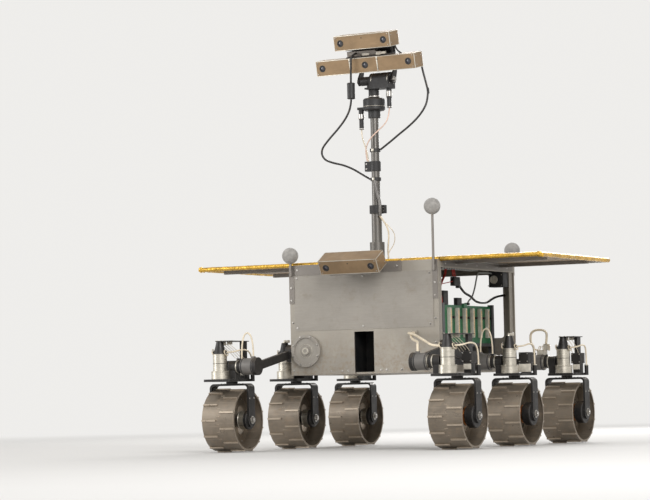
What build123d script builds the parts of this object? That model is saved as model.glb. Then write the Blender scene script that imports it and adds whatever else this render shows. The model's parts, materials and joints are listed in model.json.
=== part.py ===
"""Six-wheeled planetary rover prototype, in millimetres.

+Z is up, the rover drives towards -Y and +X is its left side. The origin is on the floor,
below the middle of the six wheels. Each function builds one piece or one set of like pieces.
"""
from math import cos, radians, sin, tan
import os

from build123d import *

# Fits between pieces
bore_gap = 0.05
seat_gap = 0.3

# Body box: sheet panels on corner posts, its left side left open
body_width = 400.0
body_length = 450.0
body_height = 268.0
belly_height = 182.0
body_offset_y = 16.0
wall = 4.0
deck_thickness = 5.0
lip_wall = 3.0
deck_lip = 14.0
floor_lip = 12.0
transport_spacing = 330.0
transport_hole = 3.3
post_leg = 22.0
post_wall = 3.0

# Instrument bay in the front panel
bay_width = 53.0
bay_height = 102.0
bay_depth = 62.0
bay_wall = 2.5

# Round cover on the front panel
cover_radius = 39.0
cover_thickness = 6.0
cover_rim = 7.0
cover_boss_radius = 10.0
cover_inset = 43.0
cover_rise = 59.0

# Upper sheet and top strip on the front panel
sheet_thickness = 1.5
sheet_rise = 108.0
strip_thickness = 3.0
strip_height = 25.0
strip_left_inset = 95.0
strip_right_inset = 16.0

# Gland on the front panel for the leads of the front left leg
gland_spacing = 10.0
gland_width = 24.0
gland_height = 12.0
gland_thickness = 4.0

# Window in the rear panel, over the rear bogie's pivot
window_margin = 30.0
window_rise = 86.0
window_drop = 22.0
window_round = 8.0

# Equipment seen through the open side
battery_width = 240.0
battery_length = 300.0
battery_height = 60.0
board_inset = 49.0
board_length = 290.0
board_height = 96.0
board_thickness = 2.0
board_front_gap = 116.0
board_base_width = 12.0
board_base_height = 8.0
socket_count = 6
socket_width = 9.0
socket_depth = 8.0
socket_height = 70.0
power_width = 90.0
power_length = 80.0
power_height = 47.0
fan_radius = 16.0
duct_width = 16.0
duct_height = 12.0
duct_front = -96.0
duct_rear = 113.0

# Solar array in three sections
array_span = 924.0
array_setback = 10.0
array_rear_gap = 3.0
array_thickness = 2.5
array_rim_radius = 4.5
array_split_gap = 2.0
bracket_wall = 3.0
bracket_drop = 16.0
bracket_reach = 28.0
rib_width = 12.0
rib_height = 9.0
rib_end_gap = 24.0
rib_inset = 90.0

# Hazard camera, nose down on a bent tray over the front edge
hazard_length = 157.0
hazard_depth = 47.0
hazard_height = 36.0
hazard_pitch = 30.0
hazard_ahead = 55.0
hazard_drop = 2.0
hazard_baseline = 120.0
tray_wall = 3.0
tray_width = 110.0
tray_rise = 4.0

# Marker balls on their rods
ball_radius = 20.0
rod_radius = 3.0
rod_socket = 8.0
strap_width = 13.0
strap_height = 93.0
marker_edge = 7.0
rod_standoff = 1.5

# Mast
mast_setback = 83.0
foot_radius = 32.0
foot_thickness = 8.0
sleeve_radius = 18.0
sleeve_height = 52.0
lower_radius = 12.5
lower_top = 592.0
upper_radius = 10.0
upper_wall = 2.0
tube_overlap = 52.0
mast_top = 824.0
clamp_radius = 17.0
clamp_height = 20.0
clip_share = 0.4655
clip_width = 16.0
clip_height = 24.0
band_height = 8.0
band_wall = 3.0
low_band_share = 0.7143
high_band_share = 0.217

# Pan unit on the mast top
pan_radius = 27.0
pan_height = 30.0
pan_boss_radius = 15.0
pan_boss_height = 18.0
pan_shaft_radius = 6.0
pan_shaft_length = 22.0
plug_radius = 6.5
plug_length = 24.0
plug_gap = 2.0
neck_radius = 13.0
neck_height = 22.0

# Tilt unit, its housing to the left of the mast axis
tilt_radius = 18.0
tilt_housing_left = 50.0
tilt_housing_right = 16.0
tilt_boss_radius = 11.0
tilt_boss_end = 33.0
tilt_shaft_radius = 5.0
tilt_foot = 4.0

# Camera head, turned and pitched as it stands
head_pan = -3.0
head_pitch = 12.0
wide_length = 277.0
wide_depth = 42.0
wide_height = 37.0
wide_baseline = 240.0
small_length = 157.0
small_depth = 47.0
small_height = 36.0
small_baseline = 120.0
camera_round = 3.0
head_gap = 6.0
head_forward = 12.0
channel_length = 119.0
channel_height = 21.0
channel_depth = 36.0
channel_wall = 3.0
ear_wall = 4.0
ear_gap = 3.0
ear_radius = 12.0
ear_width = 12.0
lens_radius = 7.0
lens_recess = 3.0

# Running gear: stations of the three axles from the origin
wheel_base = 328.0
track_outset = 100.0
wheel_radius = 77.0
drum_radius = 74.0
drum_width = 86.0
drum_wall = 2.0
rim_lip = 4.0
grouser_count = 12
grouser_width = 4.0
grouser_length = 38.0
web_thickness = 3.0
web_holes = 6
web_hole_radius = 14.0
web_hole_circle = 42.0
hub_radius = 17.0
hub_length = 26.0
axle_radius = 8.0

# Yoke over each wheel
yoke_gap = 6.0
yoke_wall = 5.0
yoke_bend = 7.0
yoke_depth = 30.0
yoke_end_radius = 17.0
drive_radius = 21.0
drive_length = 27.0
steer_shaft_radius = 8.0
washer_radius = 14.0

# Leg over each wheel: gear case, steering motor and walking motor
leg_gap = 5.0
case_thickness = 6.0
case_width = 76.0
case_back = 32.0
case_front = 21.0
ring_radius = 21.5
ring_height = 19.0
steer_motor_radius = 17.0
steer_motor_length = 41.0
boot_radius = 15.0
boot_top_radius = 8.0
boot_height = 30.0
nipple_radius = 3.5
nipple_reach = 19.0
nipple_rise = 4.0
lid_thickness = 2.0
lid_overhang = 8.0
walk_height = 205.0
walk_radius = 20.0
walk_length = 33.0
walk_inboard = 54.0
walk_flange_radius = 21.5
coupling_radius = 15.0
terminal_width = 8.0
terminal_rise = 4.0
block_offset = 24.0
block_width = 26.0
block_length = 30.0
block_height = 26.0
block_rise = 24.0
plug_boot_radius = 5.0
plug_boot_height = 20.0
plug_boot_x = 43.0
plug_boot_y = 26.0

# Bogie beams that carry the legs
beam_thickness = 9.0
beam_height = 20.0
pivot_radius = 22.0
pivot_height = 236.0
rear_beam_depth = 24.0
rear_pivot_radius = 26.0

# Cables and leads
cable_diameter = 5.0
lead_diameter = 3.0
wire_diameter = 2.0
motor_lead_diameter = 4.0
panel_lead_diameter = 6.0
bead_radius = 9.5
bead_bottom = 852.0
bead_top = 892.0

# Places worked out from the sizes above
side_x = body_width / 2
front_y = body_offset_y - body_length / 2
rear_y = body_offset_y + body_length / 2
inner_front = front_y + wall
inner_rear = rear_y - wall
body_top = belly_height + body_height
floor_top = belly_height + wall
deck_bottom = body_top - deck_thickness
array_front = front_y + array_setback
array_rear = rear_y - array_rear_gap
array_mid = body_top + array_thickness / 2
mast_y = front_y + mast_setback
clip_top = lower_top + clip_share * (mast_top - lower_top)
low_band_z = lower_top + low_band_share * (clip_top - clip_height - lower_top)
high_band_z = clip_top + high_band_share * (mast_top - pan_boss_height - clip_top)
pan_top = mast_top + pan_height
tilt_z = pan_top + neck_height + tilt_foot + tilt_radius
axle_z = wheel_radius
half_track = side_x + track_outset
yoke_inner = drum_width / 2 + yoke_gap
yoke_outer = yoke_inner + yoke_wall
yoke_bottom = 2 * wheel_radius + yoke_gap
yoke_top = yoke_bottom + yoke_wall
case_bottom = yoke_top + leg_gap
case_top = case_bottom + case_thickness
ring_top = case_top + ring_height
motor_top = ring_top + steer_motor_length
boot_top = motor_top + boot_height
nipple_z = motor_top + nipple_rise
terminal_top = walk_height + walk_radius + terminal_rise
coupling_terminal_top = walk_height + coupling_radius + terminal_rise
beam_x = half_track - walk_inboard - walk_length - beam_thickness

# Routes of the mast's cables and leads: x and y from the mast's axis, z from the floor
left_upper_route = [
    (-30.9, 4.3, 971.7),
    (-31.9, -15.2, 967.5),
    (-33.0, -36.6, 962.5),
    (-34.0, -52.8, 951.9),
    (-35.0, -51.6, 933.6),
    (-38.5, -46.0, 914.3),
    (-42.0, -40.0, 892.0),
]
left_lower_route = [
    (-42.0, -40.0, 852.0),
    (-44.0, -40.0, 831.0),
    (-60.0, -38.0, 804.0),
    (-86.0, -34.0, 779.0),
    (-114.0, -28.0, 757.0),
    (-138.0, -22.0, 734.0),
    (-134.0, -17.0, 712.0),
    (-112.0, -12.0, 702.0),
    (-86.0, -8.0, 696.0),
    (-60.0, -4.0, 685.0),
    (-35.0, -1.0, 669.0),
    (-14.6, 0.0, 657.0),
]
right_upper_route = [
    (116.1, -4.3, 937.2),
    (118.8, 8.5, 938.5),
    (121.0, 20.0, 931.0),
    (122.0, 26.0, 913.0),
    (128.0, 26.0, 891.0),
    (136.0, 22.0, 866.0),
]
right_lower_route = [
    (136.0, 22.0, 866.0),
    (137.0, 17.0, 842.0),
    (128.0, 12.0, 819.0),
    (110.0, 8.0, 797.0),
    (87.0, 5.0, 778.0),
    (65.0, 3.0, 763.0),
    (47.0, 2.0, 750.0),
    (31.0, 1.0, 739.0),
    (14.7, 0.0, 728.0),
]
pan_lead_route = [
    (42.4, -2.2, 828.0),
    (41.5, -4.0, 810.0),
    (36.0, -11.0, 790.0),
    (19.0, -19.0, 773.0),
    (0.0, -23.0, 756.0),
    (-15.0, -18.0, 738.0),
    (-21.0, -10.0, 719.0),
    (-20.0, -4.0, 700.8),
]
mast_lead_route = [
    (-35.5, 0.0, 780.0),
    (-36.0, 1.0, 763.0),
    (-31.0, 4.0, 744.0),
    (-24.0, 5.0, 724.0),
    (-20.0, 3.0, 700.0),
]
mast_wire_route = [
    (12.0, -9.5, 572.0),
    (12.0, -9.5, 561.0),
    (29.0, 4.0, 543.0),
    (41.0, 17.0, 522.0),
    (38.0, 18.0, 496.0),
    (22.0, 13.0, 476.0),
    (22.0, 13.0, 458.0),
]

# Routes of the leads from the front left leg to the gland and of those in the body, all from the origin
motor_to_gland_route = [
    (281.0, -378.0, 240.0),
    (262.0, -378.0, 240.0),
    (236.0, -362.0, 252.0),
    (200.0, -318.0, 262.0),
    (160.0, -262.0, 271.0),
    (126.0, -232.0, 276.0),
    (126.0, -213.0, 276.0),
]
walk_to_gland_route = [
    (218.0, -366.0, 229.0),
    (218.0, -366.0, 243.0),
    (206.0, -340.0, 252.0),
    (178.0, -300.0, 256.0),
    (150.0, -258.0, 262.0),
    (136.0, -232.0, 276.0),
    (136.0, -213.0, 276.0),
]
power_lead_route = [
    (151.0, 135.0, 430.0),
    (151.0, 118.0, 430.0),
    (151.0, 104.0, 404.0),
    (151.0, 92.0, 382.0),
    (151.0, 66.0, 373.0),
    (151.0, 40.0, 374.0),
    (151.0, 40.0, 351.0),
]
loom_route = [
    (151.0, 10.0, 433.0),
    (151.0, 10.0, 404.0),
    (151.0, 28.0, 376.0),
    (151.0, 66.0, 368.0),
    (150.0, 96.0, 358.0),
    (148.0, 140.0, 352.0),
    (145.0, 180.0, 357.0),
    (142.0, 205.0, 372.0),
    (142.0, 205.0, 398.0),
]
board_lead_route = [
    (151.0, -60.0, 433.0),
    (151.0, -60.0, 422.0),
    (151.0, -84.0, 402.0),
    (151.0, -98.0, 382.0),
    (151.0, -89.0, 364.0),
    (151.0, -89.0, 350.0),
]

# Leads of each leg: from the boot's nipple to the plug, as x from the steering axis, share of the way back
# from the motor to the plug and height, and over the walking motor, as x inboard and height
plug_route = [
    (19.0, 0.0, 240.0),
    (36.0, 0.0, 240.0),
    (44.0, 0.39, 247.0),
    (46.0, 0.76, 243.0),
    (43.0, 1.0, 224.0),
    (43.0, 1.0, 196.0),
]
arch_route = [
    (50.0, 224.0),
    (50.0, 285.0),
    (82.0, 285.0),
    (82.0, 229.0),
]

# Wheel stations: name, side (+1 left), place along Y, steering motor forward of the wheel's centre,
# walking motor forward of it, lid over the leg
stations = [
    ("front_left", 1, -wheel_base, 50.0, 38.0, True),
    ("front_right", -1, -wheel_base, 56.0, 38.0, True),
    ("middle_left", 1, 0.0, 26.0, 14.0, False),
    ("middle_right", -1, 0.0, 56.0, 14.0, False),
    ("rear_left", 1, wheel_base, 20.0, 14.0, True),
    ("rear_right", -1, wheel_base, 20.0, 14.0, True),
]


def block(x0, x1, y0, y1, z0, z1):
    """Box between two corners."""
    centre = Pos((x0 + x1) / 2, (y0 + y1) / 2, (z0 + z1) / 2)
    return centre * Box(abs(x1 - x0), abs(y1 - y0), abs(z1 - z0))


def rod_x(radius, x0, x1, y, z):
    """Cylinder along X."""
    return Pos((x0 + x1) / 2, y, z) * Rot(0, 90, 0) * Cylinder(radius, abs(x1 - x0))


def rod_y(radius, x, y0, y1, z):
    """Cylinder along Y."""
    return Pos(x, (y0 + y1) / 2, z) * Rot(90, 0, 0) * Cylinder(radius, abs(y1 - y0))


def rod_z(radius, x, y, z0, z1):
    """Upright cylinder."""
    return Pos(x, y, (z0 + z1) / 2) * Cylinder(radius, abs(z1 - z0))


def plate_x(points, x0, x1):
    """Flat plate between two X stations, its outline given as (y, z) points."""
    outline = Polyline(*[(0, y, z) for y, z in points], close=True)
    return Pos(x0, 0, 0) * extrude(make_face(outline), amount=x1 - x0, dir=(1, 0, 0))


def save(name, shape):
    """Write one sub-part's file."""
    export_step(shape, f"parts/{name}.step")


def floor_panel():
    """Floor with a stiffening lip on the open side and four holes for a transport frame."""
    panel = block(-side_x, side_x, inner_front, inner_rear, belly_height, floor_top)
    panel += block(side_x - lip_wall, side_x, inner_front, inner_rear, floor_top, floor_top + floor_lip)
    for sx in (-1, 1):
        for sy in (-1, 1):
            x = sx * transport_spacing / 2
            y = body_offset_y + sy * transport_spacing / 2
            panel -= rod_z(transport_hole, x, y, belly_height - 1, floor_top + 1)
    return panel


def front_panel():
    """Front plate with the bay's slot, the hole behind the round cover and the gland of two leads."""
    panel = block(-side_x, side_x, front_y, inner_front, belly_height, body_top)
    slot = bay_width / 2
    panel -= block(-slot, slot, front_y - 1, inner_front + 1, belly_height - 1, belly_height + bay_height)
    hole = cover_radius - cover_rim
    panel -= rod_y(hole, cover_inset - side_x, front_y - 1, inner_front + 1, belly_height + cover_rise)
    x, _, z = motor_to_gland_route[-1]
    gland = Box(gland_width, gland_thickness, gland_height)
    gland = fillet(gland.edges().filter_by(Axis.Y), 3)
    return panel + Pos(x + gland_spacing / 2, front_y - gland_thickness / 2, z) * gland


def front_sheet():
    """Thin facing sheet over the upper front plate."""
    half = side_x - strap_width
    top = body_top - strip_height
    return block(-half, half, front_y - sheet_thickness, front_y, belly_height + sheet_rise, top)


def front_bay():
    """Open box behind the slot, standing on the floor."""
    half = bay_width / 2
    top = belly_height + bay_height
    back = inner_front + bay_depth
    box = block(-half - bay_wall, half + bay_wall, inner_front, back, floor_top, top + bay_wall)
    return box - block(-half, half, inner_front - 1, back - bay_wall, floor_top - 1, top)


def access_cover():
    """Round cover with a raised rim and a small centre boss."""
    x = cover_inset - side_x
    z = belly_height + cover_rise
    cover = rod_y(cover_radius, x, front_y - cover_thickness, front_y, z)
    floor = front_y - cover_thickness / 2
    cover -= rod_y(cover_radius - cover_rim, x, front_y - cover_thickness - 1, floor, z)
    cover += rod_y(cover_boss_radius, x, front_y - cover_thickness - 2, front_y, z)
    return cover


def rear_panel():
    """Rear plate with a wide window."""
    panel = block(-side_x, side_x, inner_rear, rear_y, belly_height, body_top)
    half = side_x - window_margin
    low = belly_height + window_rise
    window = block(-half, half, inner_rear - 1, rear_y + 1, low, body_top - window_drop)
    return panel - fillet(window.edges().filter_by(Axis.Y), window_round)


def right_panel():
    """Closed right side."""
    return block(-side_x, -side_x + wall, inner_front, inner_rear, floor_top, deck_bottom)


def deck_panel():
    """Top deck with a lip down the open side."""
    deck = block(-side_x, side_x, inner_front, inner_rear, deck_bottom, body_top)
    deck += block(side_x - lip_wall, side_x, inner_front, inner_rear, deck_bottom - deck_lip, deck_bottom)
    return deck


def corner_posts():
    """Four angle posts in the body's corners."""
    posts = []
    for x, sx in ((side_x - lip_wall, -1), (-side_x + wall, 1)):
        for y, sy in ((inner_front, 1), (inner_rear, -1)):
            post = block(x, x + sx * post_leg, y, y + sy * post_wall, floor_top, deck_bottom)
            post += block(x, x + sx * post_wall, y, y + sy * post_leg, floor_top, deck_bottom)
            posts.append(post)
    return Compound(children=posts)


def battery_box():
    """Battery case on the floor."""
    half = battery_width / 2
    back = inner_rear - post_leg
    box = block(-half, half, back - battery_length, back, floor_top, floor_top + battery_height)
    return fillet(box.edges().filter_by(Axis.Z), 6)


def board_frame():
    """Grooved base on legs that holds the circuit board upright."""
    x = side_x - board_inset
    y0 = inner_front + board_front_gap
    y1 = y0 + board_length
    half = board_base_width / 2
    top = floor_top + battery_height + board_base_height
    frame = block(x - half, x + half, y0, y1, floor_top + battery_height, top)
    for y in (y0, y1):
        frame += block(x - half, x + half, y - half, y + half, floor_top, top + board_height)
    groove = board_thickness / 2 + bore_gap
    return frame - block(x - groove, x + groove, y0, y1, top - board_base_height / 2, top + board_height + 1)


def main_board():
    """Upright circuit board with a row of card sockets on its outer face."""
    x = side_x - board_inset
    y0 = inner_front + board_front_gap
    bottom = floor_top + battery_height + board_base_height / 2
    top = bottom + board_height
    board = block(x - board_thickness / 2, x + board_thickness / 2, y0, y0 + board_length, bottom, top)
    pitch = (board_length - 2 * board_base_width) / socket_count
    for i in range(socket_count):
        y = y0 + board_base_width + pitch * (i + 0.5)
        low = top - board_base_height - socket_height
        face = x + board_thickness / 2
        half = socket_width / 2
        board += block(face, face + socket_depth, y - half, y + half, low, low + socket_height)
    y = power_lead_route[-1][1]
    half = socket_width
    return board + block(x - half / 2, x + half / 2, y - half, y + half, top - half, top + half / 2 + 0.5)


def power_box():
    """Power unit under the deck, a round fan guard on its outer face, and the cable duct ahead of it."""
    x1 = side_x - lip_wall - post_wall - 2
    y1 = inner_rear - post_leg
    box = block(x1 - power_width, x1, y1 - power_length, y1, deck_bottom - power_height, deck_bottom)
    z = deck_bottom - deck_lip - fan_radius
    box += rod_x(fan_radius, x1, x1 + lip_wall, y1 - power_length / 2, z)
    x = side_x - board_inset
    half = duct_width / 2
    duct = block(x - half, x + half, duct_front, duct_rear, deck_bottom - duct_height, deck_bottom)
    return Compound(children=[box, duct])


def hazard_place():
    """Turn and place of the hazard camera's middle."""
    return Pos(0, front_y - hazard_ahead, body_top - hazard_drop) * Rot(hazard_pitch, 0, 0)


def camera_bar(length, depth, height, lens_places):
    """Camera bar about its own middle, lenses in its front face."""
    bar = Box(length, depth, height)
    bar = fillet(bar.edges().filter_by(Axis.Z), camera_round)
    front = -depth / 2
    for x in lens_places:
        bar -= rod_y(lens_radius, x, front - 1, front + lens_recess, 0)
        bar += rod_y(lens_radius * 0.6, x, front + lens_recess / 3, front + lens_recess, 0)
    return bar


def hazard_camera():
    """Two-lens camera over the front edge."""
    half = hazard_baseline / 2
    return hazard_place() * camera_bar(hazard_length, hazard_depth, hazard_height, (-half, half))


def hazard_bracket():
    """Strip along the front plate's top edge, bent forward into the camera's sloping tray."""
    right = strip_right_inset - side_x
    left = side_x - strip_left_inset
    outer = front_y - strip_thickness
    strip = block(right, left, outer, front_y, body_top - strip_height, body_top)
    low = -hazard_height / 2
    front = -hazard_depth / 2
    reach = (hazard_ahead - strip_thickness) / cos(radians(hazard_pitch))
    half = tray_width / 2
    tray = hazard_place() * block(-half, half, front, reach, low - tray_wall, low)
    tray -= block(-side_x, side_x, outer, rear_y, belly_height, body_top + body_height)
    tray += block(-half, half, outer, front_y, body_top - strip_height, body_top + tray_rise)
    return strip + tray


def array_centre():
    """Middle section of the array on the deck, half-round along its edges, with a hole for the mast."""
    half = side_x - array_split_gap / 2
    front = array_front + array_rim_radius
    rear = array_rear - array_rim_radius
    sheet = block(-half, half, front, rear, body_top, body_top + array_thickness)
    for y in (front, rear):
        sheet += rod_x(array_rim_radius, -half, half, y, array_mid)
    sheet -= block(-side_x, side_x, front_y, rear_y, body_top - 2 * array_rim_radius, body_top)
    return sheet - rod_z(foot_radius + 3, 0, mast_y, body_top - 1, body_top + array_thickness + 1)


def array_wing(side):
    """Outer section of the array on one side, a round rim along its three free edges."""
    inner = side * (side_x + array_split_gap / 2)
    outer = side * (array_span / 2 - array_rim_radius)
    front = array_front + array_rim_radius
    rear = array_rear - array_rim_radius
    wing = block(inner, outer, front, rear, body_top, body_top + array_thickness)
    wing += rod_y(array_rim_radius, outer, front, rear, array_mid)
    for y in (front, rear):
        wing += rod_x(array_rim_radius, inner, outer, y, array_mid)
        wing += Pos(outer, y, array_mid) * Sphere(array_rim_radius)
    return wing


def array_brackets():
    """Angle along each body side with two ribs under each outer section."""
    out = []
    for side in (-1, 1):
        y0 = array_front + rib_width
        y1 = array_rear - rib_width
        wall_x = side * (side_x + bracket_wall)
        angle = block(side * side_x, wall_x, y0, y1, body_top - bracket_drop, body_top)
        tip = side_x + bracket_reach
        angle += block(side * side_x, side * tip, y0, y1, body_top - bracket_wall, body_top)
        end = side * (array_span / 2 - rib_end_gap)
        for y in (array_front + rib_inset, array_rear - rib_inset):
            half = rib_width / 2
            angle += block(side * side_x, end, y - half, y + half, body_top - rib_height, body_top)
        out.append(angle)
    return Compound(children=out)


# Marker places: side, face of the body (-1 front), height of the ball's centre above the body, strap
markers = [
    (1, -1, 126.0, True),
    (-1, -1, 24.0, True),
    (1, 1, 38.0, False),
    (-1, 1, 38.0, False),
]


def marker_spot(side, face):
    """X and Y of a marker's rod, just off the body's face."""
    x = side * (side_x - marker_edge)
    off = strip_thickness + rod_standoff + rod_radius
    y = front_y - off if face < 0 else rear_y + off
    return x, y


def marker_posts():
    """Rods of the four marker balls, each on a strap on the body's face."""
    posts = []
    for side, face, rise, tall in markers:
        x, y = marker_spot(side, face)
        body_face = front_y if face < 0 else rear_y
        strap = strap_height if tall else strap_width * 2
        outer = body_face + face * strip_thickness
        low = body_top - strap
        post = block(side * (side_x - strap_width), side * side_x, body_face, outer, low, body_top)
        clamp_low = body_top - strap_width * 2
        post += block(x - rod_radius - 1, x + rod_radius + 1, outer, y, clamp_low, clamp_low + strap_width)
        post += rod_z(rod_radius, x, y, clamp_low, body_top + rise - ball_radius + rod_socket)
        posts.append(post)
    return Compound(children=posts)


def marker_balls():
    """Four tracking balls."""
    balls = []
    for side, face, rise, _ in markers:
        x, y = marker_spot(side, face)
        z = body_top + rise
        ball = Pos(x, y, z) * Sphere(ball_radius)
        ball -= rod_z(rod_radius + bore_gap, x, y, z - ball_radius - 1, z - ball_radius + rod_socket)
        balls.append(ball)
    return Compound(children=balls)


def mast_foot():
    """Flange and sleeve that hold the mast on the deck."""
    foot = rod_z(foot_radius, 0, mast_y, body_top, body_top + foot_thickness)
    foot += rod_z(sleeve_radius, 0, mast_y, body_top, body_top + sleeve_height)
    return foot - rod_z(lower_radius + bore_gap, 0, mast_y, body_top - 1, body_top + sleeve_height + 1)


def mast_lower():
    """Lower mast tube."""
    tube = rod_z(lower_radius, 0, mast_y, body_top, lower_top)
    return tube - rod_z(upper_radius + bore_gap, 0, mast_y, body_top - 1, lower_top + 1)


def mast_upper():
    """Upper mast tube, telescoped into the lower one."""
    bottom = lower_top - tube_overlap
    tube = rod_z(upper_radius, 0, mast_y, bottom, mast_top)
    return tube - rod_z(upper_radius - upper_wall, 0, mast_y, bottom - 1, mast_top + 1)


def mast_clamps():
    """Clamp collar at the joint of the tubes, and the cable clip and band above it."""
    z0 = lower_top - clamp_height
    collar = rod_z(clamp_radius, 0, mast_y, z0, lower_top)
    collar += block(0, clamp_radius + 8, mast_y - 6, mast_y + 6, z0, lower_top)
    collar -= rod_z(lower_radius + bore_gap, 0, mast_y, z0 - 1, lower_top + 1)
    collar -= block(lower_radius, clamp_radius + 9, mast_y - 1, mast_y + 1, z0 - 1, lower_top + 1)
    clip_z = clip_top - clip_height
    clip = rod_z(upper_radius + 3, 0, mast_y, clip_z, clip_z + clip_height)
    clip += block(-upper_radius - clip_width, 0, mast_y - 7, mast_y + 7, clip_z, clip_z + clip_height)
    clip -= rod_z(upper_radius + bore_gap, 0, mast_y, clip_z - 1, clip_z + clip_height + 1)
    bands = []
    for band_z in (low_band_z, high_band_z):
        band = rod_z(upper_radius + band_wall, 0, mast_y, band_z, band_z + band_height)
        bands.append(band - rod_z(upper_radius + bore_gap, 0, mast_y, band_z - 1, band_z + band_height + 1))
    return Compound(children=[collar, clip, *bands])


def pan_base():
    """Pan motor on the mast top, with a cable connector hung beside it."""
    base = rod_z(pan_radius, 0, mast_y, mast_top, pan_top)
    base = chamfer(base.edges().filter_by(GeomType.CIRCLE), 3)
    base += rod_z(pan_boss_radius, 0, mast_y, mast_top - pan_boss_height, mast_top)
    base -= rod_z(upper_radius + bore_gap, 0, mast_y, mast_top - pan_boss_height - 1, mast_top)
    base -= rod_z(pan_shaft_radius + bore_gap, 0, mast_y, pan_top - pan_shaft_length - seat_gap, pan_top + 1)
    x = -pan_radius - plug_radius - plug_gap
    half = plug_radius + 1
    base += block(x - half, -pan_radius / 2, mast_y - half, mast_y + half, mast_top + 4, mast_top + 10)
    base += rod_z(plug_radius, x, mast_y, mast_top + 4 - plug_length, mast_top + 4)
    base += rod_z(plug_radius - 1, x, mast_y, mast_top + 4 - 2 * plug_length, mast_top + 4 - plug_length)
    return base


def pan_head():
    """Turning neck and tilt housing with the tilt shaft, and its hanging connector."""
    low = pan_top + seat_gap
    head = rod_z(pan_shaft_radius, 0, 0, pan_top - pan_shaft_length, low)
    head += rod_z(neck_radius, 0, 0, low, pan_top + neck_height)
    bottom = pan_top + neck_height
    foot_top = bottom + tilt_foot
    head += block(-tilt_housing_right, tilt_housing_left, -tilt_radius, tilt_radius, bottom, foot_top)
    head += block(-4, tilt_housing_left, -tilt_radius, tilt_radius, foot_top, tilt_z)
    head += rod_x(tilt_radius, -4, tilt_housing_left, 0, tilt_z)
    head += rod_x(tilt_boss_radius, -tilt_boss_end, 0, 0, tilt_z)
    head += block(-tilt_housing_right, 0, -tilt_boss_radius / 2, tilt_boss_radius / 2, foot_top, tilt_z)
    right_end = -tilt_boss_end - ear_gap - ear_wall
    left_end = tilt_housing_left + ear_gap + ear_wall
    head += rod_x(tilt_shaft_radius, right_end, left_end, 0, tilt_z)
    x = tilt_housing_left - plug_radius - 1
    head += rod_z(plug_radius, x, 0, bottom - plug_length, bottom)
    head += rod_z(plug_radius - 1, x, 0, bottom - 2 * plug_length, bottom - plug_length)
    return Pos(0, mast_y, 0) * Rot(0, 0, head_pan) * head


def head_turn():
    """Turn and place of the camera head, from its tilt axis."""
    return Pos(0, mast_y, tilt_z) * Rot(0, 0, head_pan) * Rot(head_pitch, 0, 0)


def camera_bracket():
    """Two ears on the tilt shaft and the channel they carry between the cameras."""
    wide_low = tilt_radius + head_gap
    channel_low = wide_low + wide_height
    channel_top = channel_low + channel_height
    back = wide_depth / 2 - head_forward
    half = channel_length / 2
    front = back + ear_width - channel_depth
    bracket = block(-half, half, front, back + ear_width, channel_low, channel_low + channel_wall)
    bracket += block(-half, half, front, back + ear_width, channel_top - channel_wall, channel_top)
    bracket += block(-half, half, back + ear_width - channel_wall, back + ear_width, channel_low, channel_top)
    outline = [
        (-ear_radius * 0.5, ear_radius * 0.85),
        (-ear_radius, 0),
        (-ear_radius * 0.5, -ear_radius * 0.85),
        (ear_radius * 0.5, -ear_radius * 0.85),
        (back + ear_width, wide_low * 0.7),
        (back + ear_width, channel_top),
        (back, channel_top),
        (back, wide_low),
    ]
    for x0 in (-tilt_boss_end - ear_gap - ear_wall, tilt_housing_left + ear_gap):
        ear = plate_x(outline, x0, x0 + ear_wall)
        bracket += ear - rod_x(tilt_shaft_radius + bore_gap, x0 - 1, x0 + ear_wall + 1, 0, 0)
    return head_turn() * bracket


def camera_wide():
    """Three-lens wide camera in front of the ears, under the channel."""
    z = tilt_radius + head_gap + wide_height / 2
    half = wide_baseline / 2
    bar = Pos(0, -head_forward, z) * camera_bar(wide_length, wide_depth, wide_height, (-half, 0, half))
    return head_turn() * bar


def camera_small():
    """Two-lens camera on top of the channel."""
    z = tilt_radius + head_gap + wide_height + channel_height + small_height / 2
    half = small_baseline / 2
    bar = Pos(0, -head_forward, z) * camera_bar(small_length, small_depth, small_height, (-half, half))
    return head_turn() * bar


def wheel():
    """Thin metal drum about its own centre, axle along X, with two staggered rows of grousers."""
    half = drum_width / 2
    drum = rod_x(drum_radius, -half, half, 0, 0)
    drum -= rod_x(drum_radius - drum_wall, -half + drum_wall, half - drum_wall, 0, 0)
    drum -= rod_x(drum_radius - rim_lip, -half - 1, half + 1, 0, 0)
    web = rod_x(drum_radius - drum_wall / 2, -web_thickness / 2, web_thickness / 2, 0, 0)
    for i in range(web_holes):
        angle = radians(360 / web_holes * (i + 0.5))
        y = web_hole_circle * cos(angle)
        z = web_hole_circle * sin(angle)
        web -= rod_x(web_hole_radius, -web_thickness, web_thickness, y, z)
    body = drum + web + rod_x(hub_radius, -hub_length / 2, hub_length / 2, 0, 0)
    pitch = 360 / grouser_count
    height = wheel_radius - drum_radius
    grouser = Box(grouser_length, grouser_width, height + drum_wall / 2)
    rise = drum_radius + (height - drum_wall / 2) / 2
    edge = half - grouser_length / 2
    for row, x in enumerate((-edge, edge)):
        for i in range(grouser_count):
            body += Rot(pitch * (i + row / 2), 0, 0) * Pos(x, 0, -rise) * grouser
    return body - rod_x(axle_radius + bore_gap, -half, half, 0, 0)


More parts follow.
